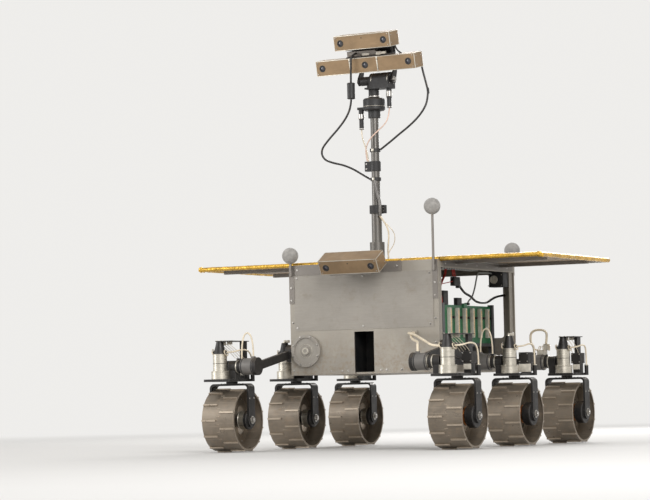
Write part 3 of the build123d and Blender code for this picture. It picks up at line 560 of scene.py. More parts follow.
def solar_cell(name, tint):
    """Dark blue solar cells under glass, with fine collector lines."""
    f = Finish(name, tint, 0.2, 0.0, 0.6)
    f.ground(f.patches((14, 3), 0.3, 0.7), 0.7, 1.7)
    f.layer(f.span(f.bands(150, "Y"), 0.93, 0.99, 0, 0.5), (0.3, 0.31, 0.33))
    f.polish(f.patches((30, 7, 0.75), 0.4, 0.75, 0.12, 0.5))
    f.set("Coat Weight", 0.5)
    f.set("Coat Roughness", 0.12)
    return f.material


def circuit_board(name, tint):
    """Green circuit board with copper runs."""
    f = Finish(name, tint, 0.4)
    cells = f.add("ShaderNodeTexBrick", offset=0.37)
    cells.inputs["Scale"].default_value = 90
    cells.inputs["Mortar Size"].default_value = 0.03
    f.join(f.flat(f.along("Y"), f.along("Z")), cells.inputs["Vector"])
    runs = f.span(cells.outputs["Fac"], 0.3, 0.7, 0, 0.7)
    f.ground(f.patches((50, 4), 0.3, 0.7), 0.75, 1.3)
    f.layer(runs, f.shade(2.2))
    f.relief(runs, 0.0001, 0.5)
    return f.material


def shrink_film(name, tint):
    """Shrink film on the battery case."""
    f = Finish(name, tint, 0.32)
    f.ground(f.patches((20, 5), 0.3, 0.7), 0.7, 1.4)
    f.relief(f.noise(60, 5, 0.6, (1, 0.2, 1)), 0.0008, 0.35)
    return f.material


def matt_lining(name, tint):
    """Matt black lining of the front bay."""
    f = Finish(name, tint, 0.7, 0.0, 0.2)
    f.paint(f.patches((40, 5), 0.3, 0.7), (0.004, 0.004, 0.005), (0.014, 0.013, 0.012))
    f.relief(f.noise(600, 3), 0.0001, 0.4)
    return f.material


def jacket(name, tint, roughness):
    """Cable jacket with soft patches and dust."""
    f = Finish(name, tint, roughness, 0.0, 0.45)
    f.ground(f.patches((55, 5, 0.65), 0.3, 0.7), 0.8, 1.15)
    f.layer(f.patches((110, 6, 0.75), 0.52, 0.75, 0, 0.35), dust(0.8))
    f.polish(f.patches((80, 4), 0.3, 0.7, roughness - 0.08, roughness + 0.12))
    f.relief(f.noise(700, 3), 0.00006, 0.4)
    return f.material


def lens_glass(name, tint):
    """Coated front glass of the lenses: near black, with a violet and green bloom."""
    f = Finish(name, tint, 0.06, 0.0, 0.9)
    bloom = f.add("ShaderNodeLayerWeight")
    bloom.inputs["Blend"].default_value = 0.35
    f.paint(bloom.outputs["Facing"], (0.01, 0.012, 0.02), (0.05, 0.02, 0.09))
    f.set("Coat Weight", 1.0)
    f.set("Coat Roughness", 0.03)
    return f.material


def white_plastic(name, tint):
    """Off-white moulded connector housings."""
    f = Finish(name, tint, 0.42)
    f.ground(f.patches((90, 5), 0.35, 0.7), 0.85, 1.1)
    f.relief(f.noise(900, 2), 0.00005, 0.4)
    return f.material


# Each finish: what makes it, its material's name, its colour setting and its own numbers
FINISHES = {
    "panel": (body_panel, "panel_aluminium", "panel"),
    "facing": (sheet_metal, "facing_sheet", "facing", 0.58, 0.35, (0.08, 1, 1), 0.35),
    "bracket_grey": (sheet_metal, "bracket_grey", "bracket", 0.45, 0.6, (1, 1, 30), 0.5),
    "mast_tube": (sheet_metal, "mast_tube", "mast", 0.34, 0.8, (1, 1, 0.03), 0.2),
    "bay_lining": (matt_lining, "bay_lining", "lining"),
    "battery_case": (shrink_film, "battery_case", "battery"),
    "circuit_board": (circuit_board, "circuit_board", "board"),
    "black_housing": (black_plastic, "black_plastic", "plastic"),
    "white_plastic": (white_plastic, "connector_white", "white"),
    "camera_gold": (camera_case, "camera_gold", "gold"),
    "array_sheet": (composite, "array_composite", "sheet"),
    "solar_cell": (solar_cell, "solar_cell", "cell"),
    "edge_tape": (film, "gold_film", "tape"),
    "silver_tape": (film, "silver_film", "foil"),
    "marker_grey": (marker_skin, "marker_skin", "marker"),
    "black_anodised": (black_anodised, "black_anodised", "black"),
    "motor_dark": (motor_can, "motor_grey", "motor"),
    "motor_silver": (machined, "motor_silver", "silver", 0.3, 0.9),
    "steel": (machined, "steel", "steel", 0.26, 1.0),
    "bright_trim": (machined, "bright_trim", "silver", 0.32, 0.9),
    "worn_metal": (machined, "worn_metal", "worn", 0.36, 0.9),
    "copper": (machined, "copper", "copper", 0.3, 1.0),
    "brass": (machined, "brass", "brass", 0.25, 1.0),
    "wheel_metal": (drum_metal, "wheel_metal", "wheel"),
    "cable_black": (jacket, "cable_black", "cable", 0.42),
    "lead_pale": (jacket, "lead_pale", "lead", 0.38),
    "lead_pink": (jacket, "lead_pink", "pink", 0.38),
    "lead_grey": (jacket, "lead_grey", "grey", 0.42),
    "lead_red": (jacket, "lead_red", "red", 0.36),
    "glass": (lens_glass, "lens_glass", "glass"),
}
made_finishes = {}


def finish(name):
    """One finish, made the first time that it is asked for."""
    if name not in made_finishes:
        make, title, setting, *numbers = FINISHES[name]
        made_finishes[name] = make(title, getattr(settings().finish, setting), *numbers)
    return made_finishes[name]


# Mesh tools: places, points and sizes are in millimetres, and new_piece turns them into metres
def new_piece(name, bm, body, finish_name, sharp=32):
    """Turn a bmesh into a piece that rides on a body."""
    bmesh.ops.recalc_face_normals(bm, faces=bm.faces)
    bmesh.ops.scale(bm, vec=(MM, MM, MM), verts=bm.verts)
    mesh = bpy.data.meshes.new(name)
    bm.to_mesh(mesh)
    bm.free()
    mesh.materials.append(finish(finish_name))
    mesh.shade_smooth()
    mesh.set_sharp_from_angle(angle=radians(sharp))
    piece = bpy.data.objects.new(name, mesh)
    bpy.context.scene.collection.objects.link(piece)
    if body:
        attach(piece, body)
    return piece


def at(x, y, z):
    """Place at a point."""
    return Matrix.Translation((x, y, z))


def towards(point, direction):
    """Place whose Z points along a direction."""
    turn = Vector(direction).to_track_quat("Z", "Y")
    return Matrix.Translation(point) @ turn.to_matrix().to_4x4()


def around(place, count, radius, height=0, phase=0.0, turned=False):
    """Places on a circle about the place's Z."""
    for i in range(count):
        turn = Matrix.Rotation(2 * pi * i / count + phase, 4, "Z")
        spot = turn @ at(radius, 0, height)
        yield place @ (spot if turned else Matrix.Translation(spot.translation))


def add_drum(bm, place, radius, height, top=None, segments=32):
    """Closed cylinder or cone standing on the place."""
    bmesh.ops.create_cone(
        bm,
        cap_ends=True,
        segments=segments,
        radius1=radius,
        radius2=radius if top is None else top,
        depth=height,
        matrix=place @ at(0, 0, height / 2),
    )


def bevel_edges(bm, edges, offset, segments):
    """Round off some edges."""
    bmesh.ops.bevel(
        bm,
        geom=edges,
        offset=offset,
        segments=segments,
        affect="EDGES",
        profile=0.5,
        material=-1,
    )


def add_box(bm, place, size, bevel=0.0, segments=2):
    """Box about the place, its edges rounded."""
    made = bmesh.ops.create_cube(bm, size=1, matrix=place @ Matrix.Diagonal((*size, 1)))
    if bevel:
        edges = list({edge for vert in made["verts"] for edge in vert.link_edges})
        bevel_edges(bm, edges, bevel, segments)


def add_ring(bm, place, profile, segments):
    """Full turn of a closed profile, given as (radius, height) points, about the place's Z."""
    verts = [bm.verts.new(place @ Vector((radius, 0, height))) for radius, height in profile]
    edges = [bm.edges.new(pair) for pair in zip(verts, verts[1:] + verts[:1])]
    bmesh.ops.spin(
        bm,
        geom=verts + edges,
        cent=place.translation,
        axis=place.col[2].to_3d(),
        angle=2 * pi,
        steps=segments,
        use_merge=True,
    )


def add_band(bm, place, inner, outer, low, high, bevel, segments=40):
    """Flat ring with bevelled outer corners."""
    profile = [(inner, low), (outer - bevel, low), (outer, low + bevel)]
    profile += [(outer, high - bevel), (outer - bevel, high), (inner, high)]
    add_ring(bm, place, profile, segments)


def add_loop(bm, place, radius, thickness, segments=28):
    """Ring of round wire about the place's Z."""
    corners = [2 * pi * i / 8 for i in range(8)]
    profile = [(radius + thickness / 2 * cos(a), thickness / 2 * sin(a)) for a in corners]
    add_ring(bm, place, profile, segments)


def screw_mesh(radius, height):
    """Button-head screw with a round recess, standing on Z."""
    bm = bmesh.new()
    add_drum(bm, Matrix.Identity(4), radius, height * 0.7, segments=16)
    top = max(bm.faces, key=lambda face: face.calc_center_median().z)
    bevel_edges(bm, list(top.edges), height * 0.4, 2)
    top = max(bm.faces, key=lambda face: (round(face.calc_center_median().z, 4), face.calc_area()))
    bmesh.ops.inset_region(bm, faces=[top], thickness=radius * 0.18)
    pushed = bmesh.ops.extrude_face_region(bm, geom=[top])
    verts = [item for item in pushed["geom"] if isinstance(item, bmesh.types.BMVert)]
    bmesh.ops.translate(bm, vec=(0, 0, -height * 0.4), verts=verts)
    mesh = bpy.data.meshes.new("screw_pattern")
    bm.to_mesh(mesh)
    bm.free()
    return mesh


def add_screws(name, body, places, radius=None):
    """One piece that holds all the screws of a group."""
    usual, height = in_mm(settings().fittings, "screw_radius", "screw_height")
    radius = radius or usual
    pattern = screw_mesh(radius, height * radius / usual)
    bm = bmesh.new()
    for place in places:
        before = len(bm.verts)
        bm.from_mesh(pattern)
        bm.verts.ensure_lookup_table()
        bmesh.ops.transform(bm, matrix=place, verts=bm.verts[before:])
    bpy.data.meshes.remove(pattern)
    new_piece(name, bm, body, "steel")


def evaluated_mesh(holder):
    """Mesh of a curve object as it is drawn."""
    graph = bpy.context.evaluated_depsgraph_get()
    graph.update()
    return bpy.data.meshes.new_from_object(holder.evaluated_get(graph), depsgraph=graph)


def add_tube(bm, points, diameter, sides=3):
    """Append a tube along the curve that the points control, and give the points it follows."""
    curve = bpy.data.curves.new("route", "CURVE")
    curve.dimensions = "3D"
    curve.resolution_u = 10
    spline = curve.splines.new("NURBS")
    spline.points.add(len(points) - 1)
    for place, point in zip(spline.points, points):
        place.co = (*point, 1)
    spline.order_u = 3
    spline.use_endpoint_u = True
    holder = bpy.data.objects.new("route", curve)
    bpy.context.scene.collection.objects.link(holder)
    line = evaluated_mesh(holder)
    path = [vert.co.copy() for vert in line.vertices]
    curve.bevel_depth = diameter / 2
    curve.bevel_resolution = sides
    curve.use_fill_caps = True
    tube = evaluated_mesh(holder)
    bm.from_mesh(tube)
    for mesh in (line, tube):
        bpy.data.meshes.remove(mesh)
    bpy.data.objects.remove(holder)
    bpy.data.curves.remove(curve)
    return path


def add_leads(name, routes, diameter, finish_name, body="chassis"):
    """One piece of several tubes."""
    bm = bmesh.new()
    for points in routes:
        add_tube(bm, points, diameter)
    return new_piece(name, bm, body, finish_name, 60)


def moved(points, origin):
    """Points of a route, moved to an origin."""
    return [Vector(origin) + Vector(point) for point in points]


def metres(points):
    """Points in metres, as the frame has them."""
    return [point * MM for point in points]


# Cables and leads of the mast: x and y from the mast's axis, z from the floor
CABLE_ROUTES = {
    "cable_left_upper": [
        (-30.9, 4.3, 971.7), (-31.9, -15.2, 967.5), (-33, -36.6, 962.5), (-34, -52.8, 951.9),
        (-35, -51.6, 933.6), (-38.5, -46, 914.3), (-42, -40, 892),
    ],
    "cable_left_lower": [
        (-42, -40, 852), (-44, -40, 831), (-60, -38, 804), (-86, -34, 779), (-114, -28, 757),
        (-138, -22, 734), (-134, -17, 712), (-112, -12, 702), (-86, -8, 696), (-60, -4, 685),
        (-35, -1, 669), (-14.6, 0, 657),
    ],
    "cable_right_upper": [
        (116.1, -4.3, 937.2), (118.8, 8.5, 938.5), (121, 20, 931), (122, 26, 913),
        (128, 26, 891), (136, 22, 866),
    ],
    "cable_right_lower": [
        (136, 22, 866), (137, 17, 842), (128, 12, 819), (110, 8, 797), (87, 5, 778),
        (65, 3, 763), (47, 2, 750), (31, 1, 739), (14.7, 0, 728),
    ],
    "pan_lead": [
        (42.4, -2.2, 828), (41.5, -4, 810), (36, -11, 790), (19, -19, 773),
        (0, -23, 756), (-15, -18, 738), (-21, -10, 719), (-20, -4, 700.8),
    ],
    "mast_lead": [(-35.5, 0, 780), (-36, 1, 763), (-31, 4, 744), (-24, 5, 724), (-20, 3, 700)],
    "mast_wire": [
        (12, -9.5, 572), (12, -9.5, 561), (29, 4, 543), (41, 17, 522),
        (38, 18, 496), (22, 13, 476), (22, 13, 458),
    ],
}

# Wrapped bundle down the front of the mast, and the thicker wire that leaves it
MAST_BUNDLE = [
    (3, -14.2, 652), (6, -13, 636), (9.4, -11.6, 618), (14.3, -12.6, 603),
    (16.8, -13.8, 592), (16.8, -13.8, 576), (15, -11.4, 566),
]
BUNDLE_WIRE = [
    (14, -11.6, 569), (20.3, -8.6, 556), (25.1, -2.7, 546), (29.4, 4.1, 529), (29, 6.1, 514),
    (26.3, 7, 495), (24.2, 8.2, 477), (25.5, 10, 466), (25.5, 10, 455),
]

# Short cable from the small camera's right end into the channel, from the tilt axis
CHANNEL_CABLE = [(70, 2, 82.5), (72, 2, 74), (79, 0, 66), (88, -2, 60.5)]

# Leads held between two housings, from the origin
PANEL_LEADS = [
    [
        (281, -378, 240), (262, -378, 240), (236, -362, 252), (200, -318, 262),
        (160, -262, 271), (126, -232, 276), (126, -213, 276),
    ],
    [
        (218, -366, 229), (218, -366, 243), (206, -340, 252), (178, -300, 256),
        (150, -258, 262), (136, -232, 276), (136, -213, 276),
    ],
]
POWER_LEAD = [
    (165, 188, 428), (162, 172, 430), (151, 150, 430), (151, 128, 430), (151, 118, 412),
    (151, 108, 390), (151, 90, 366), (151, 68, 358), (151, 60, 348),
]
LOOM = [
    (151, 12, 398), (152, 24, 388), (152, 46, 376), (151, 82, 370), (151, 106, 359),
    (151, 132, 355), (151, 160, 355), (151, 184, 357), (158, 204, 368), (168, 222, 374),
    (178, 238, 375),
]
BOARD_LEAD = [
    (151, -60, 433), (151, -60, 422), (151, -84, 402),
    (151, -98, 382), (151, -89, 364), (151, -89, 350),
]

# Lead from a steering motor to its plug: x from the steering axis, share of the way along y, height
PLUG_ROUTE = [
    (19, 0, 240), (36, 0, 240), (44, 0.39, 247), (46, 0.76, 243), (43, 1, 224), (43, 1, 196),
]
PLUG_PLACE = (43, 26)

# Arch over a walking motor: x inboard of the steering axis, height
ARCH_ROUTE = [(50, 224), (50, 285), (82, 285), (82, 229)]
ROUND_ARCH_ROUTE = [(50, 249), (47, 258), (46, 287), (90, 287), (92, 254), (82, 246), (82, 229)]

# Heights on a leg: top of the gear case, rings of the steering motor, middle of the walking motor
CASE_TOP = 176
FLANGE, SEAM, CAP = 195, 214, 236
WALK_AXIS = 205

# Legs: name, side, steering motor and walking motor forward of the steering axis, lid over the leg
LEGS = [
    ("front_left", 1, 50, 38, True),
    ("front_right", -1, 56, 38, True),
    ("middle_left", 1, 26, 14, False),
    ("middle_right", -1, 56, 14, False),
    ("rear_left", 1, 20, 14, True),
    ("rear_right", -1, 20, 14, True),
]


def leg_places():
    """Each leg's row with its steering axis on the floor."""
    for row in LEGS:
        x, y, _ = joint_point(f"steer_{row[0]}")
        yield *row, at(x, y, 0)


class ROVER_OT_cables(bpy.types.Operator):
    """Lay the cables and leads of the mast along their routes"""

    bl_idname = "rover.cables"
    bl_label = "Cables"

    def execute(self, context):
        sizes = context.scene.rover.fittings
        thick = sizes.cable_diameter
        thin = sizes.lead_diameter
        above = moved(CABLE_ROUTES["cable_right_upper"], mast_foot)
        below = moved(CABLE_ROUTES["cable_right_lower"], mast_foot)
        sleeve = self.splice(above[-1], above[-2] - below[1], thick / MM)
        bead = frame["nodes"]["cable_bead"]
        head = ("camera_head", "mast_head")
        mast = ("mast_head", "chassis")
        # Name, diameter, finish, bodies that it joins or rides on, far end, pieces on it
        rows = [
            ("cable_left_upper", thick, "cable_black", head, "fitting", [bead]),
            ("cable_left_lower", thick, "cable_black", mast, "object", []),
            ("cable_right_upper", thick, "cable_black", head, "fitting", [sleeve]),
            ("cable_right_lower", thick, "cable_black", mast, "object", []),
            ("pan_lead", thin, "lead_pink", mast, "object", []),
            ("mast_lead", thin, "lead_pale", ("chassis",), "object", []),
            ("mast_wire", sizes.wire_diameter, "lead_pale", ("chassis",), "object", []),
        ]
        for name, diameter, finish_name, bodies, far_end, pieces in rows:
            route = moved(CABLE_ROUTES[name], mast_foot)
            bm = bmesh.new()
            path = metres(add_tube(bm, route, diameter / MM, 4))
            tube = new_piece(name + "_cord", bm, None, finish_name, 60)
            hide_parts(name)
            if len(bodies) == 2:
                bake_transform(tube)
            else:
                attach(tube, bodies[0])
        return {"FINISHED"}

    def splice(self, point, direction, diameter):
        """Shrink sleeve where the two lengths of the right cable meet."""
        long = 15
        place = towards(point, direction) @ at(0, 0, -long / 2)
        bore, mouth, skin = (diameter / 2 + grow for grow in (-0.4, 0.1, 0.7))
        profile = [(bore, 0), (mouth, 0), (skin, 1.5)]
        profile += [(skin, long - 1.5), (mouth, long), (bore, long)]
        bm = bmesh.new()
        add_ring(bm, place, profile, 24)
        return new_piece("cable_splice", bm, "mast_head", "black_housing")


class ROVER_OT_leads(bpy.types.Operator):
    """Lay the leads that two housings hold, on the legs and in the body"""

    bl_idname = "rover.leads"
    bl_label = "Held leads"

    def execute(self, context):
        sizes = context.scene.rover.fittings
        lead, panel_lead, bundle = in_mm(
            sizes, "motor_lead_diameter", "panel_lead_diameter", "bundle_diameter"
        )
        thin = []
        thick = list(PANEL_LEADS)
        for name, side, motor, walk, _, place in leg_places():
            run = PLUG_PLACE[1] + motor
            plug = [(x, share * run - motor, z) for x, share, z in PLUG_ROUTE]
            thin.append(moved(plug, place.translation))
            route = ROUND_ARCH_ROUTE if name == "rear_left" else ARCH_ROUTE
            arch = moved([(-side * x, -walk, z) for x, z in route], place.translation)
            if name == "rear_left":
                thick.append(arch)
            elif name != "front_left":
                thin.append(arch)
        arches = add_leads("leg_lead_arches", thin, lead, "lead_pale")
        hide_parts("leg_leads")
        add_leads("thick_leads", thick, panel_lead, "lead_pale")
        add_leads("mast_bundle", [moved(MAST_BUNDLE, mast_foot)], bundle, "motor_dark")
        add_leads("bundle_wire", [moved(BUNDLE_WIRE, mast_foot)], lead, "lead_pale")
        loom = add_leads("bay_loom", [LOOM], panel_lead, "cable_black")
        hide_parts("bay_leads")
        add_leads("bay_power_lead", [POWER_LEAD], lead, "lead_grey")
        beside = [moved(BOARD_LEAD, (shift, 0, 0)) for shift in (-2.2, 0, 2.2)]
        add_leads("bay_red_leads", beside, lead / 2, "lead_red")
        return {"FINISHED"}


# Solids that wear another finish than that of their slot
OWN_FINISH = {"mast_foot": "mast_tube", "camera_bracket": "black_anodised"}


class ROVER_OT_finishes(bpy.types.Operator):
    """Give every solid of the frame its finish"""

    bl_idname = "rover.finishes"
    bl_label = "Finishes"

    def execute(self, context):
        for row in frame["record"]["subparts"]:
            solid = frame["nodes"].get(row["node"])
            if solid is None:
                raise RuntimeError(f"no solid named {row['node']}")
            made = finish(OWN_FINISH.get(row["node"], row["material_slot"]))
            for spot in solid.material_slots:
                spot.material = made
        return {"FINISHED"}


class ROVER_OT_cameras(bpy.types.Operator):
    """Fit lenses, screws, straps and plugs to the three camera bars"""

    bl_idname = "rover.cameras"
    bl_label = "Cameras"

    def execute(self, context):
        head = context.scene.rover.head
        wide_size = in_mm(head, "wide_length", "wide_depth", "wide_height")
        small_size = in_mm(head, "small_length", "small_depth", "small_height")
        wide_gap, small_gap = in_mm(head, "wide_baseline", "small_baseline")
        ahead, wide_rise, small_rise = in_mm(head, "head_forward", "wide_rise", "small_rise")
        turn = at(*tilt_point) @ head_turn @ Matrix.Rotation(head.pitch, 4, "X")
        wide = turn @ at(0, -ahead, wide_rise)
        small = turn @ at(0, -ahead, small_rise)
        low, high = box_of("hazard_camera")
        hazard = at(*((low + high) / 2)) @ Matrix.Rotation(head.hazard_pitch, 4, "X")
        pair = (-small_gap / 2, small_gap / 2)
        self.fit("wide_camera", "camera_head", wide, wide_size, (-wide_gap / 2, 0, wide_gap / 2))
        self.fit("small_camera", "camera_head", small, small_size, pair)
        self.fit("hazard_camera", "chassis", hazard, small_size, pair)
        self.straps(wide, wide_size)
        self.channel(turn)
        return {"FINISHED"}

    def fit(self, name, body, place, size, lenses):
        """Details of one camera bar, from its middle."""
        long, deep, tall = size
        radius = settings().head.lens_radius / MM
        front = place @ at(0, -deep / 2, 0) @ Matrix.Rotation(pi / 2, 4, "X")
        rings = bmesh.new()
        glass = bmesh.new()
        for x in lenses:
            spot = front @ at(x, 0, 0)
            add_band(rings, spot, radius - 1.3, radius + 1.5, -0.4, 0.7, 0.4, 36)
            add_band(rings, spot, radius - 2.6, radius - 1.2, -2.4, -0.5, 0.3, 36)
            dome = spot @ at(0, 0, -1.6) @ Matrix.Diagonal((radius - 2, radius - 2, 1.5, 1))
            bmesh.ops.create_uvsphere(glass, u_segments=28, v_segments=14, radius=1, matrix=dome)
        if len(lenses) == 2:
            add_drum(rings, front @ at(0, tall * 0.26, 0), 1.6, 0.5, 1.2, 20)
        new_piece(name + "_lens_rings", rings, body, "black_housing")
        new_piece(name + "_glass", glass, body, "glass")
        spots = []
        for sx, sz in product((-1, 1), (-1, 1)):
            spots.append(front @ at(sx * (long / 2 - 6), sz * (tall / 2 - 5), 0))
            for rise in (-1, 1):
                end = place @ at(sx * long / 2, sz * (deep / 2 - 8), rise * (tall / 2 - 8))
                spots.append(end @ Matrix.Rotation(sx * pi / 2, 4, "Y"))
        add_screws(name + "_screws", body, spots, settings().fittings.small_screw_radius / MM)
        self.edges(name, body, place, size)

    def edges(self, name, body, place, size):
        """Painted highlights on the corners and edges of one camera bar: bright strips a hair proud
        of the case.
        """
        long, deep, tall = size
        corner, width = in_mm(settings().head, "corner_radius", "edge_width")
        # painted highlight: radius of the bright posts on the upright corners
        bare = 0.6 * corner
        proud = 0.15
        inset = width / 2 - proud
        shift = (corner + proud - bare) * cos(pi / 4) - corner
        bm = bmesh.new()
        for a, b in product((-1, 1), (-1, 1)):
            post = place @ at(a * (long / 2 + shift), b * (deep / 2 + shift), -tall / 2)
            add_drum(bm, post, bare, tall, segments=28)
            z = a * (tall / 2 - inset)
            front = place @ at(0, b * (deep / 2 - inset), z)
            add_box(bm, front, (long - 2 * corner, width, width), 0.3)
            end = place @ at(b * (long / 2 - inset), 0, z)
            add_box(bm, end, (width, deep - 2 * corner, width), 0.3)
        new_piece(name + "_edges", bm, body, "bright_trim")

    def straps(self, place, size):
        """Two bent straps that hold the wide camera to its bracket."""
        _, deep, tall = size
        bm = bmesh.new()
        spots = []
        for x in (-42, 34.5):
            add_box(bm, place @ at(x, 0, 0), (3.4, deep + 1.6, tall + 1.6), 0.6)
            for z in (-12, 12):
                spots.append(place @ at(x, -deep / 2 - 0.8, z) @ Matrix.Rotation(pi / 2, 4, "X"))
        new_piece("wide_camera_straps", bm, "camera_head", "bright_trim")
        add_screws("wide_camera_strap_screws", "camera_head", spots, 1.4)

    def channel(self, turn):
        """Block, plugs and short cable between the two cameras."""
        metal = bmesh.new()
        add_box(metal, turn @ at(-17, -3, 70.5), (80, 23, 12), 0.8)
        new_piece("channel_block", metal, "camera_head", "bracket_grey")
        white = bmesh.new()
        for x, size in ((-4, (20, 5, 6)), (32, (12, 8, 8)), (45, (14, 6, 6))):
            add_box(white, turn @ at(x, -15, 67.5), size, 0.6)
        new_piece("channel_plugs", white, "camera_head", "white_plastic")
        points = [turn @ Vector(point) for point in CHANNEL_CABLE]
        add_leads("channel_cable", [points], 4, "cable_black", "camera_head")


class ROVER_OT_array(bpy.types.Operator):
    """Lay the solar cells and wrap the gold tape round the array's edge"""

    bl_idname = "rover.array"
    bl_label = "Solar array"

    def execute(self, context):
        low, high = box_of("array_left")
        rim = (high.z - low.z) / 2
        sizes = context.scene.rover.fittings
        self.lay_cells(sizes, low.z + rim + sizes.sheet_thickness / MM / 2)
        for name in ("array_left", "array_right"):
            low, high = box_of(name)
            z = low.z + rim
            inner, outer = (low.x, high.x - rim) if name == "array_left" else (high.x, low.x + rim)
            front = low.y + rim
            rear = high.y - rim
            knot = (outer, front, z)
            end = (outer, rear, z)
            self.tape(f"{name}_front_tape", (inner, front, z), knot, rim, "edge_tape", 3)
            self.tape(f"{name}_side_tape", knot, end, rim, "edge_tape", 7)
            self.tape(f"{name}_rear_tape", (inner, rear, z), end, rim, "silver_tape", 11)
            self.corner(f"{name}_corner", Vector(knot), rim)
        low, high = box_of("array_centre")
        z = high.z - rim
        for y, film_name in ((low.y + rim, "edge_tape"), (high.y - rim, "silver_tape")):
            self.tape(f"array_centre_{film_name}", (low.x, y, z), (high.x, y, z), rim, film_name, 5)
        return {"FINISHED"}

    def lay_cells(self, sizes, top):
        """Rows of cells on the three sections, clear of the mast's foot."""
        cells = bmesh.new()
        bars = bmesh.new()
        gap = sizes.cell_gap / MM
        margin = 12
        keep_out = 52
        for name, columns in (("array_left", 3), ("array_centre", 5), ("array_right", 3)):
            low, high = box_of(name)
            wide = (high.x - low.x - 2 * margin) / columns
            deep = (high.y - low.y - 2 * margin) / sizes.cell_count
            for i, j in product(range(columns), range(sizes.cell_count)):
                x = low.x + margin + wide * (i + 0.5)
                y = low.y + margin + deep * (j + 0.5)
                near_x = max(abs(x - mast_axis.x) - wide / 2, 0)
                near_y = max(abs(y - mast_axis.y) - deep / 2, 0)
                if near_x**2 + near_y**2 < keep_out**2:
                    continue
                add_box(cells, at(x, y, top + 0.3), (wide - gap, deep - gap, 0.6), 0.15, 1)
                for shift in (-0.25, 0.25):
                    add_box(bars, at(x + shift * wide, y, top + 0.65), (1.4, deep - gap - 4, 0.16))
        new_piece("solar_cells", cells, "chassis", "solar_cell")
        new_piece("cell_contacts", bars, "chassis", "bright_trim")

    def tape(self, name, start, end, rim, film_name, seed):
        """Crumpled film round one edge."""
        start, end = Vector(start), Vector(end)
        along = (end - start).normalized()
        step_length = 4
        film_thickness = 0.9
        steps = max(int((end - start).length / step_length), 2)
        bm = bmesh.new()
        ring = bmesh.ops.create_circle(
            bm,
            cap_ends=False,
            segments=14,
            radius=rim + film_thickness,
            matrix=towards(start, along),
        )
        edges = list({edge for vert in ring["verts"] for edge in vert.link_edges})
        for _ in range(steps):
            made = bmesh.ops.extrude_edge_only(bm, edges=edges)["geom"]
            verts = [item for item in made if isinstance(item, bmesh.types.BMVert)]
            edges = [item for item in made if isinstance(item, bmesh.types.BMEdge)]
            bmesh.ops.translate(bm, vec=(end - start) / steps, verts=verts)
        bmesh.ops.holes_fill(bm, edges=bm.edges, sides=16)
        for vert in bm.verts:
            foot = start + along * (vert.co - start).dot(along)
            wrinkle = noise.noise((vert.co * MM + Vector((seed, 0, 0))) * 150)
            sag = noise.noise((foot * MM + Vector((0, seed, 0))) * 28)
            vert.co += (vert.co - foot).normalized() * (0.55 * wrinkle + 0.35 * sag)
        new_piece(name, bm, "chassis", film_name, 50)

    def corner(self, name, place, rim):
        """Knot of folded film over a corner."""
        bm = bmesh.new()
        for shift, grow in (((0, 0, 0), 1.5), ((5, 3, -2), 1.1), ((-4, 5, 1), 1.1)):
            spot = at(*(place + Vector(shift)))
            bmesh.ops.create_icosphere(bm, subdivisions=4, radius=rim * grow, matrix=spot)
        for vert in bm.verts:
            fold = noise.noise(vert.co * MM * 210)
            vert.co += (vert.co - place).normalized() * 1.6 * fold
        new_piece(name, bm, "chassis", "edge_tape", 50)


class ROVER_OT_body(bpy.types.Operator):
    """Screw the panels, covers, straps and brackets of the body together"""

    bl_idname = "rover.body"
    bl_label = "Body fittings"

    def execute(self, context):
        low, high = box_of("front_panel")
        sheet_low, sheet_high = box_of("front_sheet")
        strip_low, strip_high = box_of("hazard_bracket")
        front = box_of("floor_panel")[0].y - 4
        strip = front - 3
        rear = box_of("rear_panel")[1].y
        edge = high.x - 6.5
        # Direction, then the places along x, y and z
        rows = [
            (FORWARD, (low.x + 8, high.x - 8), [front], (low.z + 12, low.z + 70, low.z + 128)),
            (FORWARD, (-90, -60, -44, 44, 60, 100), [front], [low.z + 8]),
            (
                FORWARD,
                (sheet_low.x + 8, 0, sheet_high.x - 8),
                [sheet_low.y],
                (sheet_low.z + 7, sheet_high.z - 7),
            ),
            (FORWARD, (strip_low.x + 8, strip_high.x - 12), [strip], [high.z - 12]),
            (FORWARD, (-edge, edge), [strip], (high.z - 20, high.z - 55, high.z - 86)),
            (BACKWARD, (-185, -92, 0, 92, 185), [rear], [high.z - 10]),
            (BACKWARD, (-185, -92, 92, 185), [rear], [low.z + 10]),
            (BACKWARD, (-185, 185), [rear], (low.z + 60, low.z + 120, low.z + 180)),
            (RIGHT, [low.x], (-196, -90, 16, 122, 228), (low.z + 12, low.z + 240)),
        ]
        spots = [towards(point, way) for way, *places in rows for point in product(*places)]
        add_screws("panel_screws", "chassis", spots)
        self.cover()
        self.post_rivets()
        return {"FINISHED"}

    def cover(self):
        """Bolts round the access cover and its grooved centre."""
        low, high = box_of("access_cover")
        middle = (low + high) / 2
        face = towards((middle.x, high.y - 6, middle.z), FORWARD)
        add_screws("cover_bolts", "chassis", around(face, 8, 35.5, phase=pi / 8, turned=True), 2.4)
        bm = bmesh.new()
        add_band(bm, face, 5, 8, 1.6, 3, 0.4)
        add_band(bm, face, 16, 17, -3.4, -2.4, 0.2)
        new_piece("cover_rings", bm, "chassis", "bright_trim")

    def post_rivets(self):
        """Rivets down the flanges of the open side."""
        face = box_of("corner_posts")[1].x
        edge = box_of("deck_panel")[1].x
        spots = [towards((face, y, z), LEFT) for y in (-194, 226) for z in range(205, 440, 38)]
        add_screws("post_rivets", "chassis", spots, 2.2)
        bm = bmesh.new()
        for y in range(-170, 210, 60):
            for x, z in ((edge + 3, 441), (edge, 192)):
                add_drum(bm, towards((x, y, z), LEFT), 2.4, 0.8, 1.6, 16)
        new_piece("lip_rivets", bm, "chassis", "steel")


